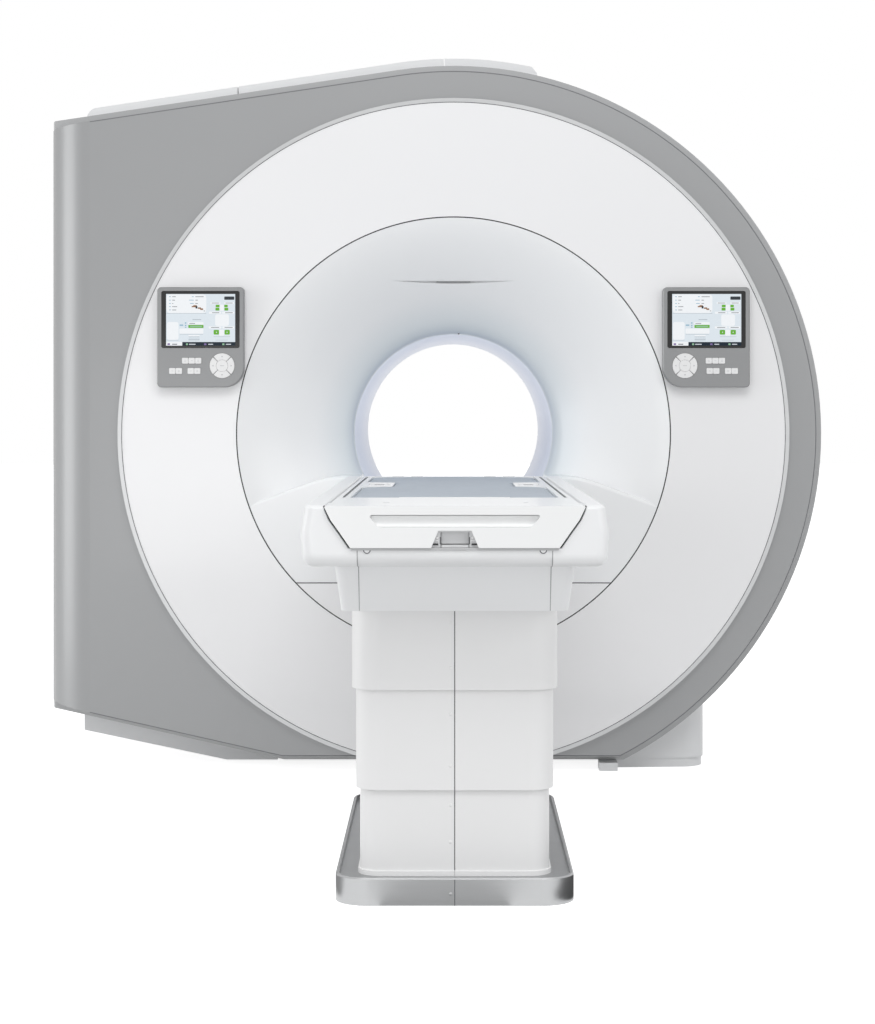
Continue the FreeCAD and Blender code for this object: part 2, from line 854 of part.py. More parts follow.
def rear_covers():
    body = prism(
        "rear_cover", "XZ", "rear_face - rear_thickness", "rear_thickness", shell_outline(*COVER)
    )
    hole = "rear_mouth_radius + cover_gap"
    carve(body, "XZ", "rear_face - rear_thickness", "rear_thickness",
          ("circle", "0", "bore_height", hole))
    keep(body)
    lip = ("liner_half_length + fit_gap", "bore_radius")
    turn = (f"{lip[0]} + rear_throat", "bore_radius")
    rim = ("rear_face", "rear_mouth_radius - rear_rim")
    cone_start = part_way(turn, rim, "rear_throat_share")
    keep(turn_about_bore(new_body("rear_funnel"), [
        lip, *sweep_points(lip, turn, cone_start, 2), rim,
        ("rear_face", "rear_mouth_radius"), (lip[0], "rear_mouth_radius"),
    ]))


def foot_cover():
    """Leg cover on a plinth, hollowed by the band that it stands against."""
    body = prism(
        "foot_blank", "XY", "plinth_height", "bore_height / 2",
        [("foot_left", "-foot_front"), ("foot_right", "-foot_front + foot_fall", "foot_corner"),
         ("foot_right", "-foot_back"), ("foot_left", "-foot_back")],
    )
    grow(body, "XY", "0", "plinth_height",
         [("foot_left", "-foot_front + plinth_inset"),
          ("foot_right - plinth_inset", "-foot_front + foot_fall + plinth_inset", "foot_corner"),
          ("foot_right - plinth_inset", "-foot_back"), ("foot_left", "-foot_back")])
    grow(body, "XY", "0", "block_height",
         rectangle("foot_left - block_reach", "foot_left + block_seat",
                   "-foot_front - block_out", "-foot_front + block_seat"))
    hollow = prism("foot_hollow", "XZ", "-front_face", "2 * front_face", shell_outline(
        "shell_radius + band_width + cover_gap", "shell_left", "block_height",
        "shell_knee", "bottom_slope"))
    keep(subtract("foot_cover", body, hollow))


# ---------------------------------------------------------------- magnet


def magnet():
    half = "vessel_half_length"
    keep(turn_about_bore(new_body("magnet_vessel"),
                         rectangle(negative(half), half, "vessel_bore", "vessel_radius")))
    half = "coil_half_length"
    inner, outer = "bore_radius + liner_wall + cover_gap / 2", "vessel_bore - cover_gap / 2"
    keep(turn_about_bore(new_body("gradient_coil"), rectangle(negative(half), half, inner, outer)))

    feet = new_body("feet_blank")
    for side in (1, -1):
        near, far = (("plate_inner", "plate_outer") if side > 0
                     else ("-plate_outer", "-plate_inner"))
        grow(feet, "XY", "0", "plate_thickness",
             rectangle(near, far, "-plate_half_length", "plate_half_length"))
        near, far = (("saddle_inner", "saddle_outer") if side > 0
                     else ("-saddle_outer", "-saddle_inner"))
        grow(feet, "XY", "plate_thickness",
             "bore_height - vessel_radius + saddle_rise - plate_thickness",
             rectangle(near, far, "-saddle_half_length", "saddle_half_length"))
    holes = [("circle", f"{x}anchor_x", f"{y}anchor_y", "anchor_radius")
             for x in ("", "-") for y in ("", "-")]
    carve(feet, "XY", "0", "plate_thickness", *holes)
    saddle = doc.addObject("Part::Cylinder", "vessel_saddle")
    saddle.setExpression("Radius", bind("vessel_radius + fit_gap"))
    saddle.setExpression("Height", bind("2 * vessel_half_length"))
    saddle.Placement = Placement(
        Vector(0, -value("vessel_half_length"), value("bore_height")),
        Rotation(Vector(1, 0, 0), -90),
    )
    saddle.setExpression("Placement.Base.y", bind("-vessel_half_length"))
    saddle.setExpression("Placement.Base.z", bind("bore_height"))
    keep(subtract("magnet_feet", feet, saddle))


# ---------------------------------------------------------------- control panels


def control_panel(side_name, side):
    """One panel: its large lower corner, round pad and screen are mirrored about the bore."""

    def across(inwards):
        return f"{side} * (housing_centre - ({inwards}))"

    def box(shape, centre_u, centre_z, width, height, corner="0"):
        ends = [across(f"({centre_u}) {sign} ({width}) / 2") for sign in "-+"]
        low_x, high_x = ends[::-side]
        low_z, high_z = (f"({centre_z}) {sign} ({height}) / 2" for sign in "-+")
        return shape(low_x, high_x, low_z, high_z, corner)

    face = "-front_face - housing_depth"
    half = "housing_width / 2"
    top = "housing_low + housing_height"
    body = prism(
        f"{side_name}_panel_housing", "XZ", face, "housing_depth - fit_gap",
        [(across(f"-{half}"), "housing_low", "housing_corner"),
         (across(half), "housing_low", "housing_sweep"),
         (across(half), top, "housing_corner"),
         (across(f"-{half}"), top, "housing_corner")],
    )
    front = value(face)
    bevel_edges(body, "housing_edge", lambda e: lies_at(e, "y", front))

    screen_z = f"{top} - screen_top_margin - screen_height / 2"
    screen = box(bevelled_box, "0", screen_z, "screen_width", "screen_height", "screen_corner")
    well = box(bevelled_box, "0", screen_z, "screen_width + 2 * key_gap",
               "screen_height + 2 * key_gap", "(screen_corner + key_gap)")
    carve(body, "XZ", face, "screen_depth", well)
    keep(prism(f"{side_name}_panel_screen", "XZ", face, "screen_depth - fit_gap", screen))

    upper, lower = "housing_low + key_upper_row", "housing_low + key_lower_row"
    third, half_key = "long_key_width / 3", "short_key_width / 2 - key_split"
    spots = [
        (f"-upper_row_offset + {n} * {third}", upper, f"{third} - key_split") for n in (-1, 0, 1)
    ] + [
        (f"-{place} + {n} * short_key_width / 4", lower, half_key)
        for place in ("lower_key_outer", "lower_key_inner") for n in (-1, 1)
    ]
    key_front = f"{face} - key_proud"
    for number, (u, z, width) in enumerate(spots, 1):
        carve(body, "XZ", face, "key_depth - key_proud + key_well",
              box(rectangle, u, z, f"{width} + 2 * fit_gap", "key_height + 2 * key_gap"))
        keep(prism(f"{side_name}_key_{number}", "XZ", key_front, "key_depth",
                   box(bevelled_box, u, z, width, "key_height", "key_corner")))

    pad_x, pad_z = across("pad_offset"), "housing_low + pad_height"
    carve(body, "XZ", face, "key_depth - key_proud + key_well",
          chord_points(pad_x, pad_z, "pad_radius + 2 * key_gap", 0, 345, 23))
    for name, heading in (("right", 0), ("up", 90), ("left", 180), ("down", 270)):
        keep(prism(f"{side_name}_pad_{name}", "XZ", key_front, "key_depth",
                   pad_quadrant(pad_x, pad_z, heading)))
    keep(prism(f"{side_name}_pad_centre", "XZ", key_front, "key_depth",
               chord_points(pad_x, pad_z, "pad_centre_radius", 0, 345, 23)))
    keep(body)


def pad_quadrant(x, z, heading):
    """Quarter of the round pad about this heading in degrees, its arcs in short chords."""
    low, high = f"({heading} - 45 + pad_split)", f"({heading} + 45 - pad_split)"
    return (chord_points(x, z, "pad_radius", low, high, 8)
            + chord_points(x, z, "pad_inner_radius", high, low, 4))


# ---------------------------------------------------------------- patient table


def round_box(grow_by, inset="0"):
    """Plan of a column cover, wider than the lowest one by grow_by and inset by its wall."""
    spread = f"{grow_by} - ({inset})"
    return rectangle(
        f"-(column_half_width + {spread})", f"column_half_width + {spread}",
        f"table_centre - column_half_length - ({spread})",
        f"table_centre + column_half_length + {spread}",
        f"column_corner + {spread}",
    )


def split(body, bottom, top):
    """Saw the cover into a left and a right half."""
    carve(body, "XY", bottom, f"({top}) - ({bottom})",
          rectangle("-split_gap / 2", "split_gap / 2", "2 * table_centre", "0"))


def base_tray():
    def plan(inset):
        return rectangle(
            f"-(tray_half_width - ({inset}))", f"tray_half_width - ({inset})",
            f"tray_front + {inset}", f"tray_back - ({inset})",
            f"tray_corner - ({inset})",
        )

    body = prism("base_tray", "XY", "0", "tray_height", plan("0"))
    carve(body, "XY", "tray_height - tray_recess", "tray_recess", plan("tray_lip"))
    top = value("tray_height")
    bevel_edges(body, "tray_edge", lambda e: lies_at(e, "z", top) and on_outer_wall(e))
    keep(body)


def on_outer_wall(edge):
    """True for an edge on the tray's outer wall, which lies less far in than half its lip."""
    low, high = edge.ParameterRange
    spot = edge.valueAt((low + high) / 2)
    half_x, corner = value("tray_half_width"), value("tray_corner")
    half_y = value("(tray_back - tray_front) / 2")
    centre = value("(tray_back + tray_front) / 2")
    beyond_x = max(abs(spot.x) - (half_x - corner), 0)
    beyond_y = max(abs(spot.y - centre) - (half_y - corner), 0)
    return math.hypot(beyond_x, beyond_y) > corner - value("tray_lip") / 2


def column_covers():
    floor = "tray_height - tray_recess"
    lower = prism("lower_column_cover", "XY", floor, f"lower_column_top - ({floor})",
                  round_box("0"))
    grow(lower, "XY", floor, "flare_height", round_box("column_flare"))
    carve(lower, "XY", floor, f"lower_column_top - ({floor})", round_box("0", "column_wall"))
    split(lower, floor, "lower_column_top")
    keep(lower)

    middle = prism("middle_column_cover", "XY", "middle_column_bottom",
                   "middle_column_top - middle_column_bottom", round_box("column_step"))
    carve(middle, "XY", "middle_column_bottom",
          "middle_column_top - carrier_thickness - middle_column_bottom",
          round_box("column_step", "column_wall"))
    carve(middle, "XY", "middle_column_top - carrier_thickness", "carrier_thickness",
          lift_plan("guide_wall + fit_gap", "fit_gap"))
    split(middle, "middle_column_bottom", "middle_column_top")
    keep(middle)

    upper = prism("upper_column_cover", "XY", "upper_column_bottom",
                  "frame_bottom - fit_gap - upper_column_bottom", round_box("2 * column_step"))
    carve(upper, "XY", "upper_column_bottom", "frame_bottom - fit_gap - upper_column_bottom",
          round_box("2 * column_step", "column_wall"))
    split(upper, "upper_column_bottom", "frame_bottom")
    keep(upper)


def lift_plan(inset, outwards="0"):
    """Plan of the lift's square tubes, the outermost one inset by 0."""
    spread = f"{outwards} - ({inset})"
    return rectangle(
        f"-(guide_half_width + {spread})", f"guide_half_width + {spread}",
        f"table_centre - guide_half_length - ({spread})",
        f"table_centre + guide_half_length + {spread}",
    )


def lift():
    """Three square tubes, one inside the next."""
    step = "guide_wall + fit_gap"
    floor = "tray_height - tray_recess"
    stages = [
        ("lift_guide", floor, "guide_top", "0"),
        ("lift_stage", "stage_bottom", "stage_top", step),
        ("lift_mast", "mast_bottom", "frame_ceiling - fit_gap", f"2 * ({step})"),
    ]
    for name, bottom, top, inset in stages:
        body = prism(name, "XY", bottom, f"({top}) - ({bottom})", lift_plan(inset))
        carve(body, "XY", bottom, f"({top}) - ({bottom})", lift_plan(f"{inset} + guide_wall"))
        keep(body)


def centre_panel_outline(outwards, inwards):
    """Section of the panel under the tabletop's front: upright, curved under, then sloping."""
    bottom_y = "frame_front + frame_front_fall"
    return [
        (f"{bottom_y} - ({outwards})", "frame_bottom"),
        (f"{bottom_y} + centre_panel_wall + {inwards}", "frame_bottom"),
        (f"frame_front + centre_panel_wall + {inwards}",
         f"frame_top + centre_panel_wall + {inwards}"),
        (f"wing_front + centre_panel_wall + {inwards} + centre_panel_lean",
         f"frame_top + centre_panel_wall + {inwards}", "centre_panel_back_round"),
        (f"wing_front + centre_panel_wall + {inwards}", "board_bottom - board_channel_gap"),
        (f"wing_front - ({outwards})", "board_bottom - board_channel_gap"),
        (f"wing_front - ({outwards})", f"frame_top - ({outwards})", "centre_panel_round"),
        (f"frame_front - ({outwards})", f"frame_top - ({outwards})"),
    ]


def table_frame():
    def plan(half_width, front):
        return rectangle(negative(half_width), half_width, front, "frame_back", "frame_corner")

    frame = new_body("frame_blank")
    low = add_sketch(frame, "XY", "frame_bottom",
                     [plan("frame_bottom_half_width", "frame_front + frame_front_fall")])
    high = add_sketch(frame, "XY", "frame_top - fit_gap",
                      [plan("frame_top_half_width", "frame_front")])
    loft = frame.newObject("PartDesign::AdditiveLoft", "frame_loft")
    loft.Profile = low
    loft.Sections = [high]
    loft.Ruled = True
    carve(frame, "XY", "frame_bottom", "frame_ceiling - frame_bottom",
          round_box("2 * column_step", "column_wall"))

    wing_half = [
        ("wing_half_width - wing_foot_inset", "frame_top", "wing_round"),
        ("wing_half_width", "wing_belly", "wing_round * 3"),
        ("wing_top_half_width", "wing_top", "wing_round / 4"),
    ]
    gap = "board_channel_gap + head_growth"
    channel_half = [
        (f"board_top_half_width + {gap}", "wing_top"),
        (f"board_upper_half_width + {gap} + head_upper_growth - head_growth", "board_upper"),
        (f"board_lower_half_width + {gap} + head_lower_growth - head_growth", "board_lower"),
        (f"board_bottom_half_width + {gap} + head_bottom_growth - head_growth",
         "board_bottom - fit_gap"),
    ]
    section = wing_half + channel_half
    section += [(negative(p[0]), *p[1:]) for p in reversed(channel_half)]
    section += [(negative(p[0]), *p[1:]) for p in reversed(wing_half)]
    wings = prism("wings_blank", "XZ", "wing_front",
                  "-wing_front - front_face - dock_gap", section)
    carve(wings, "YZ", "-wing_half_width", "2 * wing_half_width",
          [("wing_front - groove", "frame_top - groove"),
           ("wing_front + wing_bevel", "frame_top - groove"),
           ("wing_front - groove", "frame_top + wing_bevel")])

    recess_half = "centre_panel_half_width + cover_gap"
    recess = prism("panel_recess", "YZ", negative(recess_half), f"2 * ({recess_half})",
                   centre_panel_outline("wing_round", "cover_gap"))
    keep(subtract("frame_cover", frame, recess))
    keep(subtract("table_wings", wings, recess))
    half = "centre_panel_half_width"
    keep(prism("table_front_panel", "YZ", negative(half), f"2 * {half}",
               centre_panel_outline("0", "0")))


def tabletop():
    def section(growths):
        top, upper, lower, bottom = growths
        return mirrored([
            (f"board_bottom_half_width + {bottom}", "board_bottom"),
            (f"board_lower_half_width + {lower}", "board_lower"),
            (f"board_upper_half_width + {upper}", "board_upper"),
            (f"board_top_half_width + {top}", "board_top - board_edge"),
            (f"board_top_half_width + {top} - board_edge", "board_top"),
        ])

    back = "-front_face - dock_gap"
    body = prism("tabletop", "XZ", "board_front", "board_head_length", section(
        ("head_growth", "head_upper_growth", "head_lower_growth", "head_bottom_growth")))
    grow(body, "XZ", "board_front + board_head_length",
         f"{back} - board_front - board_head_length", section(("0", "0", "0", "0")))

    carve(body, "XY", "board_top - pad_sink - pad_thickness", "pad_sink + pad_thickness",
          pad_plan("cover_gap"))
    slot, socket = "rail_slot_width / 2", "socket_width / 2"
    socket_x = "(pad_notch_half_width + pad_half_width) / 2"
    notch_middle = "(pad_notch_front + pad_notch_back) / 2"
    for sign in ("", "-"):
        rail_x, middle_x = f"{sign}rail_slot_offset", f"{sign}{socket_x}"
        carve(body, "XY", "board_top - rail_slot_depth", "rail_slot_depth",
              rectangle(f"{rail_x} - {slot}", f"{rail_x} + {slot}", "pad_front", "pad_back"))
        carve(body, "XY", "board_top - socket_depth", "socket_depth",
              rectangle(f"{middle_x} - {socket}", f"{middle_x} + {socket}",
                        f"{notch_middle} - socket_length / 2",
                        f"{notch_middle} + socket_length / 2"))
    carve(body, "XZ", "board_front", "handle_depth", mirrored([
        ("handle_bottom_half_width", "handle_bottom", "handle_round"),
        ("handle_top_half_width", "handle_top", "handle_round / 2"),
    ]))
    carve(body, "XZ", "board_front", "recess_depth", mirrored([
        ("recess_bottom_half_width", "board_bottom"),
        ("recess_top_half_width", "recess_top"),
    ]))
    keep(body)


def mattress():
    """Thin crowned pad with drawn-in sides, notched where the coil sockets are."""
    low, high = "board_top - pad_sink - pad_thickness + fit_gap", "board_top - pad_sink"
    seam = f"(({low}) + ({high})) / 2"
    narrow = "pad_half_width - pad_drawn_in"
    crown = f"(({narrow})^2 + pad_crown^2) / (2 * pad_crown)"
    body = prism("mattress", "XZ", "pad_front", "pad_back - pad_front", [
        (negative(narrow), low), (narrow, low), ("pad_half_width", seam), (narrow, high),
        ("arc", crown, 1), (negative(narrow), high), ("-pad_half_width", seam)])
    for side in (1, -1):
        carve(body, "XY", low, "2 * pad_thickness", [
            (f"{side} * {x}", y) for x, y in (
                ("board_half_width", "pad_notch_front - pad_notch_slant"),
                *pad_notch("0"), ("board_half_width", "pad_notch_back + pad_notch_slant"))])
    keep(body)


def pad_notch(outwards):
    """The four corners of the notch on the pad's right, from front to back."""
    wide, narrow = f"(pad_half_width + {outwards})", f"(pad_notch_half_width + {outwards})"
    return [
        (wide, f"pad_notch_front + {outwards}"),
        (narrow, f"pad_notch_front + {outwards} + pad_notch_slant"),
        (narrow, f"pad_notch_back - ({outwards}) - pad_notch_slant"),
        (wide, f"pad_notch_back - ({outwards})"),
    ]


def pad_plan(outwards):
    """Plan of the pad's seat in the tabletop, notched on both sides."""
    wide = f"pad_half_width + {outwards}"
    return mirrored([(wide, f"pad_front - ({outwards})"), *pad_notch(outwards),
                     (wide, f"pad_back + {outwards}")])


def release_lever():
    """Pull lever on a cross pin in the tabletop's front recess."""
    front = "board_front + lever_setback"
    body = prism("release_lever", "XZ", front, "lever_thickness", bevelled_box(
        "-lever_half_width", "lever_half_width", "lever_bottom", "lever_pivot + lever_round",
        "lever_round"))
    rise = "(recess_top - lever_pivot - lever_pin_radius) / (recess_top - board_bottom)"
    spread = "(recess_bottom_half_width - recess_top_half_width)"
    pin_half = f"recess_top_half_width + {rise} * {spread} - fit_gap"
    grow(body, "YZ", negative(pin_half), f"2 * ({pin_half})",
         ("circle", f"{front} + lever_thickness / 2", "lever_pivot", "lever_pin_radius"))
    keep(body)


front_shell()
shell_edge_band()
disc_trim_ring()
front_disc_cover()
bore_funnel()
lower_inner_panel()
bore_tube()
roof_covers()
side_covers()
rear_covers()
foot_cover()
magnet()
control_panel("left", -1)
control_panel("right", 1)
base_tray()
column_covers()
lift()
table_frame()
tabletop()
mattress()
release_lever()

doc.recompute()
for item in doc.Objects:
    if "Invalid" in item.State or "Error" in item.State:
        raise RuntimeError(f"{item.Label}: {item.State}")
for piece in pieces:
    if piece.Shape.isNull() or not piece.Shape.isValid():
        raise RuntimeError(f"{piece.Label}: no valid shape")
os.makedirs("parts", exist_ok=True)
for piece in pieces:
    piece.Shape.exportStep(f"parts/{piece.Label}.step")
print(len(pieces), "sub-parts")
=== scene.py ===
"""Looks of the whole-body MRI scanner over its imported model.

Everything is in metres in the model's frame: origin on the floor under the isocentre,
+X to the right seen from the front, +Y away along the bore, +Z up.
"""

from math import acos, atan2, cos, exp, hypot, pi, radians, sin, sqrt, tan

import bmesh
import bpy
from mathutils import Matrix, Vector


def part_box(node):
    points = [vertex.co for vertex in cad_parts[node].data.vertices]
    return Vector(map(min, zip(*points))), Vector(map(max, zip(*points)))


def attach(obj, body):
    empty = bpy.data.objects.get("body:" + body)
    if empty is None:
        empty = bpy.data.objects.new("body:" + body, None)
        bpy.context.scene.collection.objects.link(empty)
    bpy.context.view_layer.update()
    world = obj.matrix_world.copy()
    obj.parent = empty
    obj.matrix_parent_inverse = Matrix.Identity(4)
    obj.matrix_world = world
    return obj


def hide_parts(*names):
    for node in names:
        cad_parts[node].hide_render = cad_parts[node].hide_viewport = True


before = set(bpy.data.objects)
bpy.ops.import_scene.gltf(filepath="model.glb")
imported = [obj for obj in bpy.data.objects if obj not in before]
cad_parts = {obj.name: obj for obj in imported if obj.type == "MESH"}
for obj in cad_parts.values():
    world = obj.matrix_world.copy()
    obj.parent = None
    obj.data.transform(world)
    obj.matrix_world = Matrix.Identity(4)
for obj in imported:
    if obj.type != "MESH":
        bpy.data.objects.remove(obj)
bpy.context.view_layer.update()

# -------- driving dimensions

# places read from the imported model
RING_LOW, RING_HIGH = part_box("bore_light_ring")
LINER_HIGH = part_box("bore_liner")[1]
FUNNEL_LOW, FUNNEL_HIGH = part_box("bore_funnel")
DISC_LOW, DISC_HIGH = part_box("front_disc_cover")
TRIM_LOW, TRIM_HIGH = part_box("disc_trim_ring")
SHELL_LOW, SHELL_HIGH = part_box("front_shell")
BOARD_LOW, BOARD_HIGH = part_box("tabletop")
PAD_LOW, PAD_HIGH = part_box("mattress")
WINGS_LOW, WINGS_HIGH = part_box("table_wings")
PANEL_LOW, PANEL_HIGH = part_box("table_front_panel")
FRAME_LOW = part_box("frame_cover")[0]
LEVER_LOW, LEVER_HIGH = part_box("release_lever")

BORE_Z = (RING_LOW.z + RING_HIGH.z) / 2
LINER_WALL = 0.008
BORE_RADIUS = LINER_HIGH.x - LINER_WALL
THROAT = FUNNEL_HIGH.y
SEAM_RADIUS = FUNNEL_HIGH.z - BORE_Z
DISC_RADIUS = DISC_HIGH.z - BORE_Z
TRIM_RADIUS = TRIM_HIGH.z - BORE_Z
SHELL_RADIUS = SHELL_HIGH.x
FRONT = DISC_LOW.y

# flared mouth: where its two curves meet, and the corners that bend them
THROAT_TURN = (THROAT - 0.040, BORE_RADIUS)
FLARE_JOIN = (THROAT - 0.0756, BORE_RADIUS + 0.050)
FLARE_BEND = (FRONT + 0.032, BORE_RADIUS + 0.250)

# apron under the mouth and the channel that the tabletop slides through
BOARD_TOP = PAD_HIGH.z - 0.0009
APRON_TOP = BOARD_TOP + 0.002
APRON_FLAT = 0.430
APRON_SLOPE = tan(radians(20))
APRON_ROUND = 0.060
APRON_EDGE = 0.014
CHANNEL_FLOOR = BOARD_LOW.z - 0.006
CHANNEL_HEADROOM = 0.060

# grey shell: its rounded left side, the knee of its bottom edge and the slopes of bottom and roof
SHELL_ROUND = 0.150
SHELL_KNEE = -0.590
SHELL_RISE = tan(radians(12.7))
ROOF_TURN = radians(8.5)

# air outlet above the mouth
OUTLET_Z = BORE_Z + 0.531
OUTLET_HALF = 0.212
OUTLET_DEPTH = 0.020
OUTLET_FALL = 0.009

# half section of the tabletop's head, from its bottom edge to its top edge
BOARD_SIDE = [(0.254, BOARD_LOW.z), (0.279, BOARD_TOP - 0.066),
              (0.302, BOARD_TOP - 0.034), (0.317, BOARD_TOP)]
BOARD_GAP = 0.0035

# plan of the pad: half widths and the notches over the coil sockets
PAD_HALF = PAD_HIGH.x
NOTCH_HALF = 0.185
NOTCH_BACK = PAD_HIGH.y - 0.560
NOTCH_FRONT = NOTCH_BACK - 0.400
NOTCH_SLANT = 0.030
PAD_STEP_HALF = 0.148
PAD_STEP = 0.045
RAIL_X = BOARD_HIGH.x - 0.004 - 0.019

# from the edge of a cover to the middle of the gap beside it
HALF_GAP = 0.0004
# how far joint lines stand out of their surface
PROUD = 0.0006
FORWARD = (0, -1, 0)
BACKWARD = (0, 1, 0)
# how far the tools that cut the mouth reach past it
OVERCUT = 0.05
# the wings stop short of the disc so that they clear the painted joint lines on it when the table is
# lowered
SEAM_CLEARANCE = 0.0012

# -------- materials


def srgb(*levels):
    """Linear colour of screen levels from 0 to 255."""
    linear = [((v / 255 + 0.055) / 1.055) ** 2.4 if v > 10 else v / 255 / 12.92 for v in levels]
    return (*(linear * 3 if len(linear) == 1 else linear), 1.0)


def shade(colour, factor):
    return (*(c * factor for c in colour[:3]), 1.0)


class Nodes:
    """Short names for the nodes of one material."""

    def __init__(self, name):
        self.material = bpy.data.materials.new(name)
        self.material.use_nodes = True
        self.tree = self.material.node_tree
        self.shader = self.tree.nodes["Principled BSDF"]
        self.coordinates = self.add("ShaderNodeTexCoord").outputs["Object"]

    def add(self, kind, **settings):
        node = self.tree.nodes.new(kind)
        for key, setting in settings.items():
            setattr(node, key, setting)
        return node

    def link(self, source, target):
        self.tree.links.new(source, target)

    def noise(self, scale, stretch=(1, 1, 1), detail=3):
        place = self.add("ShaderNodeMapping")
        place.inputs["Scale"].default_value = stretch
        self.link(self.coordinates, place.inputs["Vector"])
        noise = self.add("ShaderNodeTexNoise")
        noise.inputs["Scale"].default_value = scale
        noise.inputs["Detail"].default_value = detail
        self.link(place.outputs["Vector"], noise.inputs["Vector"])
        return noise.outputs["Fac"]

    def spread(self, source, low, high, start=0.3, stop=0.7):
        """Map a source between start and stop to the range from low to high."""
        ramp = self.add("ShaderNodeMapRange", interpolation_type="SMOOTHSTEP")
        for socket, setting in (("From Min", start), ("From Max", stop), ("To Min", low), ("To Max", high)):
            ramp.inputs[socket].default_value = setting
        self.link(source, ramp.inputs["Value"])
        return ramp.outputs["Result"]

    def tint(self, source, dark, light):
        mix = self.add("ShaderNodeMix", data_type="RGBA")
        colours = [socket for socket in mix.inputs if socket.type == "RGBA"]
        colours[0].default_value = dark
        colours[1].default_value = light
        self.link(source, mix.inputs["Factor"])
        result = next(socket for socket in mix.outputs if socket.type == "RGBA")
        self.link(result, self.shader.inputs["Base Color"])

    def from_axis(self, axis_z):
        """Distance from the line along Y at height axis_z."""
        offset = self.add("ShaderNodeVectorMath", operation="MULTIPLY_ADD")
        offset.inputs[1].default_value = (1, 0, 1)
        offset.inputs[2].default_value = (0, 0, -axis_z)
        self.link(self.coordinates, offset.inputs[0])
        length = self.add("ShaderNodeVectorMath", operation="LENGTH")
        self.link(offset.outputs["Vector"], length.inputs[0])
        return length.outputs["Value"]

    def bump(self, source, distance, strength=1.0):
        bump = self.add("ShaderNodeBump")
        bump.inputs["Distance"].default_value = distance
        bump.inputs["Strength"].default_value = strength
        self.link(source, bump.inputs["Height"])
        self.link(bump.outputs["Normal"], self.shader.inputs["Normal"])

    def vary_roughness(self, source, low, high):
        self.link(self.spread(source, low, high), self.shader.inputs["Roughness"])

    def settle(self, **inputs):
        """Set the shader's own sockets, named with _ for their spaces."""
        for name, setting in inputs.items():
            self.shader.inputs[name.replace("_", " ")].default_value = setting


# paint: noise scales of its clouding, gloss changes and orange peel, and the height of the peel
CLOUDS, GLOSS_CLOUDS, PEEL_SCALE, PEEL = 1.3, 1.7, 900, 0.00002


def moulded(name, colour, roughness, coat=0.0, metallic=0.0, patchiness=0.006, grain=PEEL,
            grain_scale=PEEL_SCALE):
    """Painted or moulded shell: faint colour and gloss variation and a fine orange peel."""
    n = Nodes(name)
    clouds = n.spread(n.noise(CLOUDS), 0, 1)
    n.tint(clouds, shade(colour, 1 - patchiness), colour)
    n.vary_roughness(n.noise(GLOSS_CLOUDS), roughness * 0.98, roughness * 1.03)
    n.bump(n.noise(grain_scale, detail=2), grain)
    n.settle(Coat_Weight=coat, Coat_Roughness=0.1, Metallic=metallic)
    return n.material


def mouth_paint_with_painted_shade(name, colour, glow, near, far):
    """Gloss paint with painted shade: a darker, cooler tone near the bore stands in for the shade and the
    bore's cool light there.
    """
    n = Nodes(name)
    n.tint(n.spread(n.from_axis(BORE_Z), 0, 1, near, far), glow, colour)
    n.vary_roughness(n.noise(GLOSS_CLOUDS), 0.33, 0.35)
    n.bump(n.noise(PEEL_SCALE, detail=2), PEEL)
    n.settle(Coat_Weight=0.3, Coat_Roughness=0.1)
    return n.material


def brushed(name, colour, stretch, roughness, streak=0.12, metallic=1.0, scale=220):
    """Metal with fine streaks, long in the direction where stretch is small."""
    n = Nodes(name)
    streaks = n.noise(scale, stretch, detail=4)
    n.tint(n.spread(streaks, 0, 1), shade(colour, 1 - streak), colour)
    n.vary_roughness(streaks, roughness * 0.95, roughness * 1.06)
    n.bump(streaks, 0.000004)
    n.settle(Metallic=metallic, Anisotropic=0.4)
    return n.material


def glowing(name, near, far, glow, strength):
    """Translucent white plastic that glows faintly, darker and cooler near the front of the bore; that
    darker front is painted shade.
    """
    n = Nodes(name)
    place = n.add("ShaderNodeSeparateXYZ")
    n.link(n.coordinates, place.inputs["Vector"])
    start, stop = -0.5, 0.5
    n.tint(n.spread(place.outputs["Y"], 0, 1, start, stop), near, far)
    n.vary_roughness(n.noise(30.0), 0.3, 0.36)
    n.bump(n.noise(700, detail=2), 0.00001)
    n.settle(Emission_Color=glow, Emission_Strength=strength)
    return n.material


def lit_pixels(name, colour):
    """Colour of a display: rows of fine pixels, lit from behind."""
    n = Nodes(name)
    rows = n.add("ShaderNodeTexWave", bands_direction="Z")
    rows.inputs["Scale"].default_value = 260
    strength = 0.82
    n.link(n.coordinates, rows.inputs["Vector"])
    n.tint(n.spread(rows.outputs["Fac"], 0, 1), shade(colour, 0.12), shade(colour, 0.16))
    n.bump(rows.outputs["Fac"], 0.000005)
    n.vary_roughness(n.noise(60.0), 0.24, 0.3)
    n.settle(Emission_Color=colour, Emission_Strength=strength, Specular_IOR_Level=0.2)
    return n.material


def vinyl(name, colour):
    """Coated pad cloth: leather-like cells over broad, faint creases."""
    n = Nodes(name)
    cells = n.add("ShaderNodeTexVoronoi")
    cells.inputs["Scale"].default_value = 420
    n.link(n.coordinates, cells.inputs["Vector"])
    creases = n.noise(5.0, (1, 0.4, 1))
    n.tint(n.spread(creases, 0, 1), shade(colour, 0.95), colour)
    height = n.add("ShaderNodeMath", operation="MULTIPLY_ADD")
    height.inputs[1].default_value = 0.25
    n.link(cells.outputs["Distance"], height.inputs[0])
    n.link(creases, height.inputs[2])
    n.bump(height.outputs["Value"], 0.0005, 0.5)
    n.vary_roughness(n.noise(40.0), 0.5, 0.6)
    n.settle(Sheen_Weight=0.1)
    return n.material


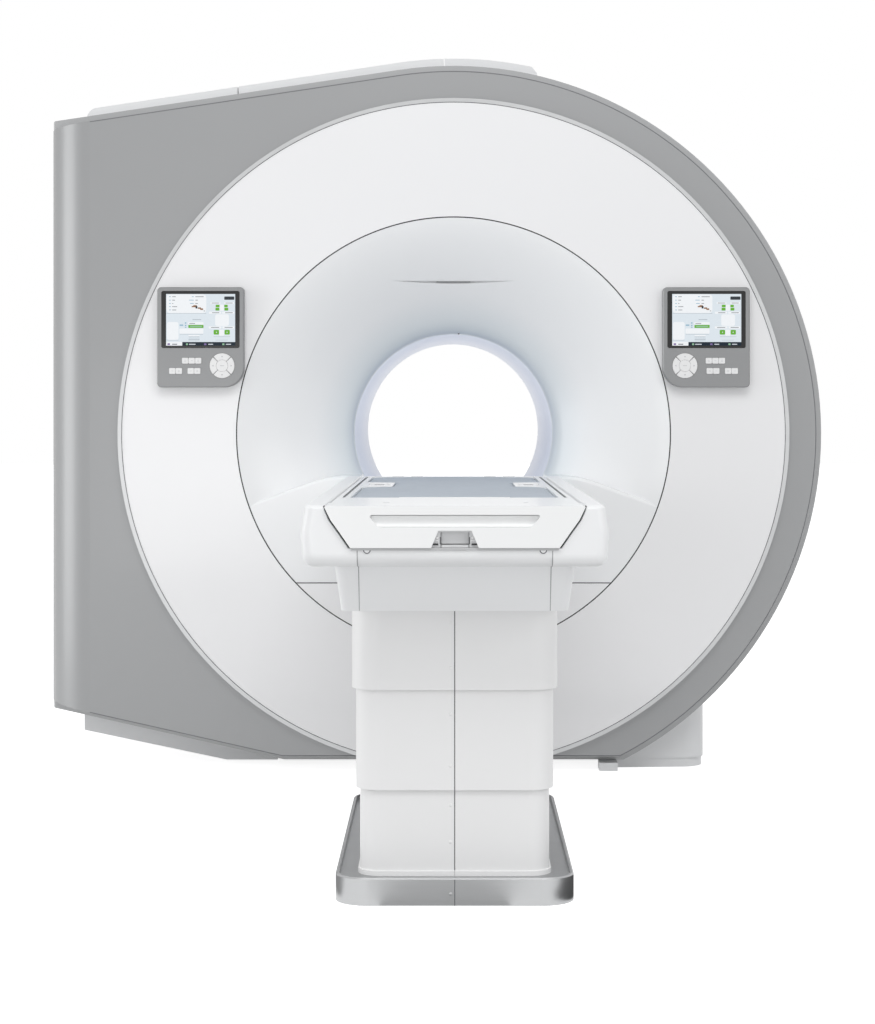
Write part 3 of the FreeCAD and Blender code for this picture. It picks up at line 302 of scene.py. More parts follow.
MATERIALS = {
    "shell_grey": moulded("shell_paint", srgb(150, 151, 152), 0.40, coat=0.15, metallic=0.4,
                          patchiness=0.01, grain=0.00003),
    "band_silver": moulded("band_paint", srgb(168, 169, 170), 0.4, coat=0.15, metallic=0.3),
    "trim_silver": brushed("trim_metal", srgb(194, 195, 196), (0.05, 1, 0.05), 0.34, 0.04, metallic=0.6),
    "disc_white": moulded("disc_gloss", srgb(240, 240, 241), 0.3, coat=0.4),
    # the mouth's darker, cooler tone near the bore is painted shade
    "funnel_white": mouth_paint_with_painted_shade("mouth_gloss", srgb(240, 241, 242), srgb(225, 231, 234), 0.35, 0.50),
    # the liner's glow is painted light and its darker, cooler front is painted shade; the light ring is the
    # bore's lamp
    "liner_white": glowing(
        "liner_painted_glow", srgb(192, 201, 216), srgb(226, 228, 233), srgb(206, 214, 236), 0.12),
    "light_ring": glowing(
        "ring_glow", srgb(196, 206, 222), srgb(206, 213, 230), srgb(196, 208, 236), 0.16),
    "cover_white": moulded("cover_paint", srgb(232, 233, 234), 0.42, coat=0.15),
    "vessel_steel": brushed("vessel_metal", srgb(190, 192, 196), (1, 0.04, 1), 0.35),
    "coil_epoxy": moulded("coil_resin", srgb(196, 178, 138), 0.5, coat=0.1, patchiness=0.06),
    "feet_steel": moulded("feet_paint", srgb(170, 171, 173), 0.5, patchiness=0.04, grain=0.0001,
                          grain_scale=300),
    "panel_grey": moulded("panel_paint", srgb(139, 140, 141), 0.38, coat=0.15, metallic=0.35),
    "screen_glass": moulded("screen_bezel", srgb(6, 7, 8), 0.14, coat=0.1),
    "key_white": moulded("key_plastic", srgb(235), 0.45),
    "tray_steel": brushed("tray_metal", srgb(176, 177, 178), (0.02, 0.02, 1), 0.32, 0.02, scale=900),
    "column_white": moulded("column_paint", srgb(243), 0.45, coat=0.1),
    "lift_aluminium": brushed("lift_metal", srgb(196, 198, 200), (1, 1, 0.04), 0.34),
    "table_white": moulded("table_paint", srgb(239, 240, 241), 0.38, coat=0.2),
    "board_white": moulded("board_gloss", srgb(242, 243, 243), 0.34, coat=0.3),
    "mattress_blue": vinyl("pad_cloth", srgb(166, 176, 187)),
    "lever_grey": moulded("lever_plastic", srgb(214, 215, 216), 0.4, coat=0.1),
}
# near black that paints the shade in the mouth's seam, the panel joint and the gaps beside the tabletop's
# front; the lever's stops are this colour too
NEAR_BLACK_STOPS_AND_GAP_SHADE = moulded("near_black_stops_and_gap_shade", srgb(38, 38, 40), 0.6, patchiness=0.08, grain=0.00005)
# grey that paints the shade in the gantry's joints and the column joints, and the shadow rims of the
# catches; on the bore's sensor dot it is the dot's own grey
JOINT_SHADE_AND_DOT_GREY = moulded("joint_shadow_and_dot_grey", srgb(112, 113, 116), 0.6, patchiness=0.05)
# grey of the rear screws; in the joints beside the table's front panel it is painted shade
SCREW_GREY_AND_SEAM_SHADE = moulded("screw_grey_and_seam_shade", srgb(150, 151, 153), 0.6, patchiness=0.04)
# dark metal of the lever's pins; in the rails, the lever's slots and the socket slots it paints the shade
# in the slots
PIN_METAL_AND_SLOT_SHADE = brushed("pin_metal_and_slot_shade", srgb(92, 93, 95), (1, 0.05, 1), 0.38, 0.1, metallic=0.8)
# pale grey of the outlet's bar; under the tabletop's front it is a paler painted shade in the gap
LOUVRE_GREY_AND_GAP_SHADE = moulded("louvre_grey_and_gap_shade", srgb(190, 191, 192), 0.6, patchiness=0.03)
FAINT_PRINT = moulded("faint_print", srgb(196, 197, 199), 0.5, patchiness=0.02)


def dress_nodes():
    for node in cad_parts.values():
        for number, material in enumerate(node.data.materials):
            node.data.materials[number] = MATERIALS[material.name.split(".")[0]]


# -------- mesh helpers


def bezier(start, bend, stop, t):
    return tuple((1 - t) ** 2 * a + 2 * t * (1 - t) * b + t * t * c
                 for a, b, c in zip(start, bend, stop))


def about_bore(radius, angle, y):
    """Point at a radius from the bore axis; the angle is 0 at the top and grows to the right."""
    return Vector((radius * sin(angle), y, BORE_Z + radius * cos(angle)))


def grid_faces(rows, columns, closed=False):
    """Quads of a grid of points, listed row by row; closed joins the last column to the first."""
    last = columns if closed else columns - 1
    return [
        (r * columns + c, r * columns + (c + 1) % columns,
         (r + 1) * columns + (c + 1) % columns, (r + 1) * columns + c)
        for r in range(rows - 1) for c in range(last)
    ]


def merge(shells):
    """One list of points and one of faces from several."""
    verts, faces = [], []
    for shell_verts, shell_faces in shells:
        faces += [tuple(i + len(verts) for i in face) for face in shell_faces]
        verts += shell_verts
    return verts, faces


def loft(stations):
    """Closed skin through rings of as many points each, with flat ends."""
    size = len(stations[0])
    verts = [point for station in stations for point in station]
    faces = grid_faces(len(stations), size, closed=True)
    faces += [tuple(range(size)), tuple(range(len(verts) - size, len(verts)))]
    return verts, faces


def rounded(corners, steps):
    """Anticlockwise outline through (a, b, radius) corners, each turned on a smooth curve."""
    outline = []
    for i, (a, b, radius) in enumerate(corners):
        here = Vector((a, b))
        if not radius:
            outline.append(here)
            continue
        before = Vector(corners[i - 1][:2]) - here
        after = Vector(corners[(i + 1) % len(corners)][:2]) - here
        reach = radius * tan((pi - before.angle(after)) / 2)
        start = here + before.normalized() * reach
        stop = here + after.normalized() * reach
        outline += [Vector(bezier(start, here, stop, s / steps)) for s in range(steps + 1)]
    return outline


def edges_moved(corners, amounts):
    """Corners of an anticlockwise outline whose edges each move inwards by an amount of their own."""
    lines = []
    for i, (corner, amount) in enumerate(zip(corners, amounts)):
        here = Vector(corner[:2])
        along = (Vector(corners[(i + 1) % len(corners)][:2]) - here).normalized()
        lines.append((here + Vector((-along.y, along.x)) * amount, along))
    moved = []
    for i, corner in enumerate(corners):
        (start, along), (other, heading) = lines[i - 1], lines[i]
        reach = (other - start).cross(heading) / along.cross(heading)
        radius = max(corner[2] - amounts[i] * 0.7, 0.002) if corner[2] else 0
        moved.append((*(start + along * reach), radius))
    return moved


def drawn_in(outline, amount):
    """Anticlockwise outline moved inwards."""
    moved = []
    for i, point in enumerate(outline):
        before = (point - outline[i - 1]).normalized()
        after = (outline[(i + 1) % len(outline)] - point).normalized()
        along = (before + after).normalized()
        inward = Vector((-along.y, along.x))
        miter = max(inward.dot(Vector((-after.y, after.x))), 0.5)
        moved.append(point + inward * (amount / miter))
    return moved


def edge_turns(steps):
    """Shares by which a rounded edge is drawn in and set back, from its face to its side."""
    turns = [pi / 2 * (1 - step / steps) for step in range(steps + 1)]
    return [(1 - cos(turn), 1 - sin(turn)) for turn in turns]


def slab(corners, front, back, edge=0.0, steps=4):
    """Closed skin of an outline in X and Z, carried along Y, with rounded front edges."""
    outline = [Vector(corner) for corner in corners]
    stations = []
    for inward, set_back in edge_turns(steps):
        ring = drawn_in(outline, edge * inward)
        stations.append([(p.x, front + edge * set_back, p.y) for p in ring])
    return loft(stations + [[(p.x, back, p.y) for p in outline]])


def rectangle(left, right, low, high, radius=0.0):
    return rounded([(left, low, radius), (right, low, radius), (right, high, radius),
                    (left, high, radius)], 4)


def block(x, half, low, high, front, back, edge=0.0, corner=0.0, steps=4):
    """Closed box by its middle and half width and its limits in Z and Y, rounded in front."""
    return slab(rectangle(x - half, x + half, low, high, corner), front, back, edge, steps)


def mirrored(shell):
    """The same skin on the other side of the middle plane."""
    verts, faces = shell
    return [(-x, y, z) for x, y, z in verts], [face[::-1] for face in faces]


def mesh_object(name, shell, closed=True):
    verts, faces = shell
    mesh = bpy.data.meshes.new(name)
    mesh.from_pydata([tuple(v) for v in verts], [], faces)
    if closed:
        work = bmesh.new()
        work.from_mesh(mesh)
        bmesh.ops.recalc_face_normals(work, faces=work.faces)
        work.to_mesh(mesh)
        work.free()
    mesh.update()
    made = bpy.data.objects.new(name, mesh)
    bpy.context.scene.collection.objects.link(made)
    return made


def finish_piece(piece, body, slot, crease, material=None):
    """Smooth shading with creases kept, the body it rides on, and its material, by default the one of its
    slot.
    """
    mesh = piece.data
    mesh.polygons.foreach_set("use_smooth", [True] * len(mesh.polygons))
    mesh.set_sharp_from_angle(angle=radians(crease))
    mesh.materials.clear()
    mesh.materials.append(material or MATERIALS[slot])
    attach(piece, body)
    return piece


def make_piece(name, shells, body, slot, material=None, crease=35):
    return finish_piece(mesh_object(name, merge(shells)), body, slot, crease, material)


def even_normals(piece):
    """Keep broad flat faces flat beside their rounded edges."""
    piece.modifiers.new("even_normals", "WEIGHTED_NORMAL").keep_sharp = True


def combine(piece, shell, operation):
    """Boolean of the piece with a closed skin."""
    tool = mesh_object("tool", shell)
    modifier = piece.modifiers.new("combine", "BOOLEAN")
    modifier.operation, modifier.solver, modifier.object = operation, "EXACT", tool
    seen = piece.evaluated_get(bpy.context.evaluated_depsgraph_get())
    mesh = bpy.data.meshes.new_from_object(seen)
    piece.modifiers.clear()
    piece.data = mesh
    bpy.data.objects.remove(tool)


def bead(path, width, height, out, closed=False):
    """Low rounded bead along a path, standing out of its surface along out."""
    out = Vector(out)
    section = [(-0.5, -0.3), (-0.5, 0.0), (-0.3, 0.8), (0.0, 1.0), (0.3, 0.8), (0.5, 0.0), (0.5, -0.3)]
    points = [Vector(p) for p in path]
    stations = []
    for i, point in enumerate(points):
        before = points[i - 1] if i or closed else point
        after = points[(i + 1) % len(points)] if closed or i + 1 < len(points) else point
        across = (after - before).normalized().cross(out).normalized()
        stations.append([point + across * (u * width) + out * (v * height) for u, v in section])
    if not closed:
        return loft(stations)
    verts = [point for station in stations + stations[:1] for point in station]
    return verts, grid_faces(len(stations) + 1, len(section), closed=True)


def dome(centre, radius, height, out=FORWARD):
    """Low round cap standing on a surface that faces along out."""
    segments, rings = 16, 4
    out = Vector(out)
    side = out.orthogonal().normalized()
    other = out.cross(side)
    stations = []
    for ring in range(rings + 1):
        turn = pi / 2 * ring / rings
        reach = radius * cos(turn) if ring < rings else radius * 0.08
        stations.append([
            Vector(centre) + out * (height * sin(turn))
            + side * (reach * cos(a)) + other * (reach * sin(a))
            for a in (2 * pi * s / segments for s in range(segments))])
    return loft(stations)


def circle_path(radius, y, low_z=None):
    """Circle about the bore axis, open at the bottom where it would pass below low_z."""
    steps = 256
    if low_z is None:
        return [about_bore(radius, 2 * pi * i / steps, y) for i in range(steps)]
    half = acos((low_z - BORE_Z) / radius)
    return [about_bore(radius, -half + 2 * half * i / steps, y) for i in range(steps + 1)]


# -------- gantry


def flare_profile():
    """(y, r) points of the mouth from the bore's edge to the disc."""
    throat = [bezier((THROAT, BORE_RADIUS), THROAT_TURN, FLARE_JOIN, i / 10) for i in range(11)]
    cone = [bezier(FLARE_JOIN, FLARE_BEND, (FRONT, SEAM_RADIUS), i / 28) for i in range(1, 29)]
    return throat + cone


def flare_y(radius):
    """Depth of the mouth's surface at a distance from the axis."""
    profile = flare_profile()
    for (y0, r0), (y1, r1) in zip(profile, profile[1:]):
        if r0 <= radius <= r1 and r1 > r0:
            return y0 + (y1 - y0) * (radius - r0) / (r1 - r0)
    return FRONT


def flare_blank():
    columns = 256
    profile = flare_profile() + [(THROAT, SEAM_RADIUS)]
    verts = [about_bore(r, 2 * pi * c / columns, y) for y, r in profile for c in range(columns)]
    faces = grid_faces(len(profile), columns, closed=True)
    last = (len(profile) - 1) * columns
    faces += [(last + c, last + (c + 1) % columns, (c + 1) % columns, c) for c in range(columns)]
    return verts, faces


def apron_line(x):
    """Height of the apron's top across its width."""
    beyond = abs(x) - APRON_FLAT
    if beyond < -APRON_ROUND:
        return APRON_TOP
    if beyond < APRON_ROUND:
        return APRON_TOP - APRON_SLOPE * (beyond + APRON_ROUND) ** 2 / (4 * APRON_ROUND)
    return APRON_TOP - APRON_SLOPE * beyond


def apron_station(y, drop):
    """Ring of points of the apron at one depth, its top lowered by drop."""
    reach = rim = SEAM_RADIUS - 0.003
    steps = 48
    for _ in range(30):
        height = BORE_Z - apron_line(reach) + drop
        reach = sqrt(rim * rim - height * height)
    top = [Vector((reach - 2 * reach * i / steps, y, 0)) for i in range(steps + 1)]
    for point in top:
        point.z = apron_line(point.x) - drop
    start = atan2(-reach, top[-1].z - BORE_Z)
    arc = [about_bore(rim, start - 2 * (pi + start) * i / steps, y) for i in range(1, steps)]
    return top + arc


def apron():
    stations = [apron_station(FRONT + APRON_EDGE * set_back, APRON_EDGE * inward)
                for inward, set_back in edge_turns(5)]
    return loft(stations + [apron_station(THROAT, 0)])


def channel():
    """Space under the tabletop and round its sides."""
    gap = BOARD_GAP + 0.0025
    side = [(x + gap - 0.004, z) for x, z in BOARD_SIDE]
    side[0] = (side[0][0] - 0.011, CHANNEL_FLOOR)
    side[1] = (side[1][0] - 0.004, side[1][1])
    side[2] = (side[2][0] - 0.005, side[2][1])
    side.append((side[-1][0], BOARD_TOP + CHANNEL_HEADROOM))
    outline = side + [(-x, z) for x, z in reversed(side)]
    return slab(outline, FRONT - OVERCUT, THROAT + OVERCUT)


def outlet_scoop():
    """Pocket under the air outlet's straight lip, deepest in the middle."""
    stations = []
    steps, outside = 40, FRONT - OVERCUT
    slope = OUTLET_FALL / OUTLET_DEPTH
    for i in range(steps + 1):
        x = OUTLET_HALF * (2 * i / steps - 1)
        depth = max(1 - (x / OUTLET_HALF) ** 2, 0.02)
        surface = flare_y(hypot(x, OUTLET_Z - BORE_Z))
        back = surface + OUTLET_DEPTH * depth
        inner = OUTLET_Z - 0.003 * depth
        stations.append([(x, outside, OUTLET_Z), (x, back, OUTLET_Z), (x, back, inner),
                         (x, outside, inner - slope * (back - outside))])
    return loft(stations)


def mouth():
    """Smooth flared mouth with the apron, the tabletop's channel and the air outlet."""
    piece = mesh_object("mouth_skin", flare_blank())
    below = block(0, 1, 0, FUNNEL_LOW.z, FRONT - OVERCUT, THROAT + OVERCUT)
    combine(piece, apron(), "UNION")
    for tool in (channel(), below, outlet_scoop()):
        combine(piece, tool, "DIFFERENCE")
    finish_piece(piece, "gantry", "funnel_white", crease=28)
    even_normals(piece)
    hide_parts("bore_funnel")


def outlet_louvre():
    """Bar across the middle of the air outlet, and a sensor dot at the top of the bore."""
    half, height = 0.059, 0.0042
    front = flare_y(OUTLET_Z - BORE_Z) + 0.004
    bar = block(0, half, OUTLET_Z - height, OUTLET_Z - PROUD, front, front + 0.03, 0.001, 0.001)
    make_piece("outlet_louvre", [bar], "gantry", "panel_grey", LOUVRE_GREY_AND_GAP_SHADE)
    dot = about_bore(BORE_RADIUS + 0.002, radians(3), THROAT - 0.0306)
    make_piece("bore_sensor", [dome(dot, 0.003, 0.0015)], "gantry", "screen_glass", JOINT_SHADE_AND_DOT_GREY)


def shell_line(inset):
    """Outline of the grey shell's front face, drawn in by inset, without its rounded left side."""
    radius = SHELL_RADIUS - inset
    bottom = SHELL_LOW.z + inset
    left = SHELL_LOW.x + SHELL_ROUND
    start = acos((bottom - BORE_Z) / radius)
    path = [Vector((left, SHELL_LOW.y, bottom + (SHELL_KNEE - left) * SHELL_RISE)),
            Vector((SHELL_KNEE, SHELL_LOW.y, bottom))]
    path += [about_bore(radius, start - (start + ROOF_TURN) * i / 180, SHELL_LOW.y) for i in range(181)]
    end = path[-1]
    path.append(Vector((left, SHELL_LOW.y, end.z - (end.x - left) * tan(ROOF_TURN))))
    return path


def joint_shade_line(name, path, width, material, out=FORWARD, closed=False):
    """Painted shade: a line that stands a little out of the gantry's covers, darkening a joint."""
    make_piece(name, [bead(path, width, PROUD, out, closed)], "gantry", "panel_grey", material)


def gantry_joint_shades():
    """Painted shade: dark lines in the joints between the disc, the mouth, the lower panel, the trim ring
    and the shell.
    """
    joint = (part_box("lower_inner_panel")[1].z + FUNNEL_LOW.z) / 2
    half = sqrt(SEAM_RADIUS ** 2 - (BORE_Z - joint) ** 2)
    joint_shade_line("seal_inner_seam", circle_path(SEAM_RADIUS + HALF_GAP, FRONT), 0.0040, NEAR_BLACK_STOPS_AND_GAP_SHADE, closed=True)
    edge = circle_path(DISC_RADIUS + HALF_GAP, FRONT, DISC_LOW.z + 0.002)
    joint_shade_line("disc_edge_shade", edge, 0.0036, JOINT_SHADE_AND_DOT_GREY)
    joint_shade_line("panel_joint_shade", [(-half, FRONT, joint), (half, FRONT, joint)], 0.0034, NEAR_BLACK_STOPS_AND_GAP_SHADE)
    seat = circle_path(TRIM_RADIUS + 0.0014, SHELL_LOW.y, TRIM_LOW.z + 0.026)
    joint_shade_line("trim_seat_shadow", seat, 0.0030, JOINT_SHADE_AND_DOT_GREY)
    joint_shade_line("shell_rim_shadow", shell_line(0.0030), 0.0030, JOINT_SHADE_AND_DOT_GREY)


def rear_fixings():
    """Painted shade in the joint round the rear mouth, and the screws that hold the rear cover."""
    cover_low, cover_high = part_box("rear_cover")
    y = cover_high.y
    rear_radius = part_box("rear_funnel")[1].z - BORE_Z
    joint = circle_path(rear_radius + HALF_GAP, y)
    joint_shade_line("rear_mouth_joint_shade", joint, 0.0040, JOINT_SHADE_AND_DOT_GREY, BACKWARD, closed=True)
    turns = [radians(15 + 30 * i) for i in range(12)]
    places = [about_bore(rear_radius + 0.075, turn, y) for turn in turns]
    places += [about_bore(SHELL_RADIUS - 0.16, turn, y) for turn in turns if abs(cos(turn)) < 0.9
               and sin(turn) > 0]
    left = cover_low.x + 0.05
    places += [Vector((left, y, cover_low.z + 0.35 + 0.48 * i)) for i in range(4)]
    radius, height = 0.014, 0.0035
    sink = Vector((0, height - PROUD, 0))
    screws = [dome(place - sink, radius, height, BACKWARD) for place in places]
    make_piece("rear_screws", screws, "gantry", "panel_grey", SCREW_GREY_AND_SEAM_SHADE)


# -------- control panels

# fields of the display: left, top, right, bottom in thousandths of its width from its upper left
# corner, for each colour from the back to the front
DISPLAY_TALL = 748
DISPLAY_LAYERS = [
    ("ground", srgb(224, 233, 240), [(0, 0, 1000, 748)]),
    ("card", srgb(244, 247, 250), [
        (6, 4, 582, 278), (12, 405, 180, 664), (644, 118, 786, 144), (844, 118, 980, 144),
        (620, 256, 796, 286), (810, 256, 986, 286), (616, 470, 800, 500), (816, 470, 986, 500),
        (320, 408, 542, 442), (192, 500, 540, 576), (324, 594, 484, 612), (710, 294, 910, 464),
        (776, 154, 836, 244), (768, 516, 840, 604), (0, 694, 234, 748)]),
    ("line", srgb(176, 186, 194), [
        (6, 278, 582, 284), (6, 668, 180, 673), (198, 580, 534, 586), (324, 616, 484, 622),
        (324, 636, 484, 642), (324, 658, 484, 670), (686, 616, 930, 621), (716, 666, 894, 671),
        (382, 366, 508, 376)]),
    ("label", srgb(150, 186, 206), [
        (42, 34, 68, 44), (42, 84, 68, 94), (42, 132, 68, 142), (42, 178, 68, 188), (42, 226, 68, 236),
        (372, 34, 400, 44), (334, 84, 400, 94), (346, 132, 400, 142), (196, 442, 248, 462),
        (272, 410, 294, 430), (272, 446, 294, 466), (272, 476, 294, 490)]),
    ("value", srgb(150, 154, 158), [
        (88, 34, 140, 45), (88, 84, 128, 95), (88, 132, 104, 143), (88, 178, 160, 189),
        (88, 226, 146, 237), (424, 34, 544, 45), (424, 84, 460, 95), (424, 132, 460, 143),
        (336, 422, 420, 433), (660, 126, 768, 136), (860, 126, 964, 136), (666, 266, 770, 277),
        (856, 266, 964, 277), (650, 480, 768, 491), (846, 480, 964, 491)]),
    ("tan", srgb(150, 112, 84), [
        (370, 174, 426, 192), (394, 162, 444, 178), (460, 194, 506, 216), (494, 208, 536, 232)]),
    ("dark", srgb(50, 56, 62), [(426, 174, 454, 210), (842, 36, 988, 84), (544, 242, 564, 250)]),
    ("green", srgb(104, 176, 52), [
        (718, 156, 774, 192), (714, 200, 772, 240), (842, 156, 892, 192), (844, 200, 900, 240),
        (688, 520, 766, 588), (846, 520, 922, 588), (322, 448, 542, 492)]),
    ("bar", srgb(20, 36, 50), [(234, 696, 1000, 748)]),
    ("icon", srgb(150, 196, 160), [(288, 716, 316, 740), (814, 716, 844, 740), (346, 462, 520, 478)]),
    ("mark", srgb(214, 220, 226), [
        (332, 722, 426, 735), (610, 722, 680, 735), (866, 722, 940, 735), (722, 546, 736, 564),
        (876, 546, 890, 564)]),
    ("violet", srgb(132, 112, 164), [(20, 714, 56, 740), (550, 716, 584, 740)]),
    ("dash", srgb(90, 94, 104), [(88, 722, 160, 734)]),
]
DISPLAY_COLOURS = {name: lit_pixels(f"display_{name}", colour) for name, colour, _ in DISPLAY_LAYERS}
DISPLAY_STEP = 0.00006
DISPLAY_PROUD, DISPLAY_BACK = 0.0002, 0.00005
SQUARE_FIELDS = ("ground", "bar")
FIELD_ROUND = 0.2
# margins of the lit display inside its dark glass, as shares of the glass
DISPLAY_LEFT, DISPLAY_RIGHT, DISPLAY_TOP, DISPLAY_BOTTOM = 0.060, 0.055, 0.052, 0.042


def display(side):
    """Lit fields of plain colour on one screen."""
    low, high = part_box(f"{side}_panel_screen")
    width, height = high.x - low.x, high.z - low.z
    left = low.x + DISPLAY_LEFT * width
    unit = width * (1 - DISPLAY_LEFT - DISPLAY_RIGHT) / 1000
    top = high.z - DISPLAY_TOP * height
    shrink = height * (1 - DISPLAY_TOP - DISPLAY_BOTTOM) / (DISPLAY_TALL * unit)
    for layer, (name, _, fields) in enumerate(DISPLAY_LAYERS):
        front = low.y - DISPLAY_PROUD - DISPLAY_STEP * layer
        shells = []
        for x0, y0, x1, y1 in fields:
            corner = min(x1 - x0, y1 - y0) * unit * (0.0 if name in SQUARE_FIELDS else FIELD_ROUND)
            outline = rectangle(left + x0 * unit, left + x1 * unit,
                                top - y1 * unit * shrink, top - y0 * unit * shrink, corner)
            shells.append(loft([[(p.x, y, p.y) for p in outline] for y in (front, low.y - DISPLAY_BACK)]))
        make_piece(f"{side}_display_{name}", shells, "gantry", "screen_glass", DISPLAY_COLOURS[name])


HEADINGS = {"up": pi / 2, "down": -pi / 2, "left": pi, "right": 0.0}
# marks on the keys: half lengths and half heights, and how far they stand out of and reach into a key
DASH_HALF, DASH_THIN, DASH_SPREAD = 0.0036, 0.0006, 0.002
CENTRE_DASH = (0.007, 0.0009)
POINTER_REACH, POINTER_SIZE = 0.031, 0.0036
MARK_PROUD, MARK_SINK = 0.00025, 0.0002


def pointer(centre_x, centre_z, heading, size):
    """Small triangle that points along its heading, anticlockwise."""
    turns = (heading, heading + 2 * pi / 3, heading - 2 * pi / 3)
    return [(centre_x + size * cos(t), centre_z + size * sin(t)) for t in turns]


def key_mark(key, outlines):
    """Plain raised marks on the face of one key."""
    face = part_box(key)[0].y
    shells = [slab(outline, face - MARK_PROUD, face + MARK_SINK) for outline in outlines]
    make_piece(f"{key}_mark", shells, key, "key_white", FAINT_PRINT)


def key_marks(side):
    """Dashes on the keys, and pointers and a dash on the round pad."""
    for number in range(1, 8):
        key = f"{side}_key_{number}"
        low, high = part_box(key)
        x, z = (low.x + high.x) / 2, (low.z + high.z) / 2
        heights = (z - DASH_SPREAD, z + DASH_SPREAD) if number % 2 else (z,)
        key_mark(key, [rectangle(x - DASH_HALF, x + DASH_HALF, level - DASH_THIN, level + DASH_THIN)
                       for level in heights])
    low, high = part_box(f"{side}_pad_centre")
    x, z = (low.x + high.x) / 2, (low.z + high.z) / 2
    for name, heading in HEADINGS.items():
        tip = pointer(x + POINTER_REACH * cos(heading), z + POINTER_REACH * sin(heading),
                      heading, POINTER_SIZE)
        key_mark(f"{side}_pad_{name}", [tip])
    half, thin = CENTRE_DASH
    key_mark(f"{side}_pad_centre", [rectangle(x - half, x + half, z - thin, z + thin)])


# -------- table frame


def wings():
    """Side wings of the table with softly rounded front ends, joined by the floor between them."""
    inner = PANEL_HIGH.x + 0.0008
    shelf = BOARD_LOW.z - 0.0003
    bottom = WINGS_LOW.z
    top = WINGS_HIGH.z
    side = [(x + BOARD_GAP, z, 0) for x, z in reversed(BOARD_SIDE)]
    side[0] = (side[0][0], top, 0.004)
    side[-1] = (side[-1][0], shelf, 0.004)
    belly = WINGS_HIGH.x
    corners = [(inner, bottom, 0), (belly - 0.006, bottom, 0.030), (belly, BOARD_TOP - 0.070, 0.070),
               (belly - 0.011, top, 0.010), *side, (inner, shelf, 0)]
    end_rounds = [0.034, 0.028, 0.026, 0.010, 0.003, 0.003, 0.003, 0.002, 0.0]
    stations = []
    for inward, set_back in edge_turns(8):
        ring = rounded(edges_moved(corners, [e * inward for e in end_rounds]), 8)
        y = WINGS_LOW.y + 0.030 * set_back
        stations.append([Vector((p.x, y, p.y)) for p in ring])
    stations.append([Vector((p.x, WINGS_HIGH.y - SEAM_CLEARANCE, p.z)) for p in stations[-1]])
    wing = loft(stations)
    overlap = 0.002
    floor = block(0, inner + overlap, bottom + 0.0004, shelf - 0.0004,
                  WINGS_LOW.y + 0.162, WINGS_HIGH.y - SEAM_CLEARANCE)
    piece = make_piece("wings_skin", [wing, mirrored(wing), floor], "table_frame", "table_white", crease=28)
    even_normals(piece)
    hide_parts("table_wings")


def gap_shadows():
    """Painted shade: dark strips in the gap beside the tabletop's front, and a paler strip in the gap under
    it.
    """
    y = WINGS_LOW.y + 0.006
    depth = 0.0004
    path = [Vector((x + BOARD_GAP / 2, y, z)) for x, z in BOARD_SIDE]
    side = bead(path, BOARD_GAP + 0.0006, depth, FORWARD)
    half, front, below = 0.252, y - 0.010, BOARD_LOW.z - 0.003
    under = bead([(-half, front, below), (half, front, below)], 0.0060, depth, FORWARD)
    make_piece("gap_side_shade", [side, mirrored(side)], "table_frame", "panel_grey", NEAR_BLACK_STOPS_AND_GAP_SHADE)
    make_piece("gap_under_shade", [under], "table_frame", "panel_grey", LOUVRE_GREY_AND_GAP_SHADE)


def frame_seams():
    """Painted shade: pale lines in the upright joints either side of the front panel, carried under to the
    frame's front.
    """
    x = PANEL_HIGH.x + 0.0004
    front, knee = WINGS_LOW.y, WINGS_LOW.z
    turn = 0.038
    path = [(front, PANEL_HIGH.z - 0.002)]
    path += [bezier((front, knee + turn), (front, knee), (front + turn, knee), i / 8) for i in range(9)]
    path += [(FRAME_LOW.y - 0.002, knee), (FRAME_LOW.y, knee - 0.0012),
             (FRAME_LOW.y + 0.050, FRAME_LOW.z + 0.001)]
    width = 0.0020
    section = [(-0.5, -1.5), (-0.5, 0), (-0.3, 1), (0.3, 1), (0.5, 0), (0.5, -1.5)]
    shells = []
    for sign in (-1, 1):
        stations = []
        for i, (y, z) in enumerate(path):
            before, after = Vector(path[max(i - 1, 0)]), Vector(path[min(i + 1, len(path) - 1)])
            along = (after - before).normalized()
            out = Vector((0, along.y, -along.x))
            if out.y > 0:
                out = -out
            here = Vector((sign * x, y, z))
            stations.append([here + out * (v * PROUD) + Vector((u * width, 0, 0)) for u, v in section])
        shells.append(loft(stations))
    make_piece("frame_seams", shells, "table_frame", "panel_grey", SCREW_GREY_AND_SEAM_SHADE)


def panel_tabs():
    """Two half-round catches that hang below the tabletop's front edge, each on a larger, darker rim that
    paints its shadow.
    """
    top = PANEL_HIGH.z + 0.0005
    layers = {"catch_shadow_rims": (0.0092, 0.0022, "panel_grey", JOINT_SHADE_AND_DOT_GREY),
              "catch_faces": (0.0068, 0.0030, "table_white", None)}
    for name, (radius, proud, slot, material) in layers.items():
        shells = []
        for x in (-0.2137, 0.2145):
            half = [(x + radius * cos(t), top + radius * sin(t))
                    for t in (pi + pi * i / 14 for i in range(15))]
            shells.append(slab(half, PANEL_LOW.y - proud, PANEL_LOW.y + 0.001, 0.0008))
        make_piece(name, shells, "table_frame", slot, material)


# -------- columns and tray


# covers of the lift: the body each rides on, how far its face lies behind its skirt, and the heights
# of its plugs
LIFT_COVERS = {
    "upper_column_cover": ("table_frame", 0.0, (0.709, 0.592)),
    "middle_column_cover": ("table_middle", 0.0, (0.4725, 0.339)),
    "lower_column_cover": ("gantry", 0.005, (0.237, 0.142)),
    "base_tray": ("gantry", 0.0, (0.030,)),
}


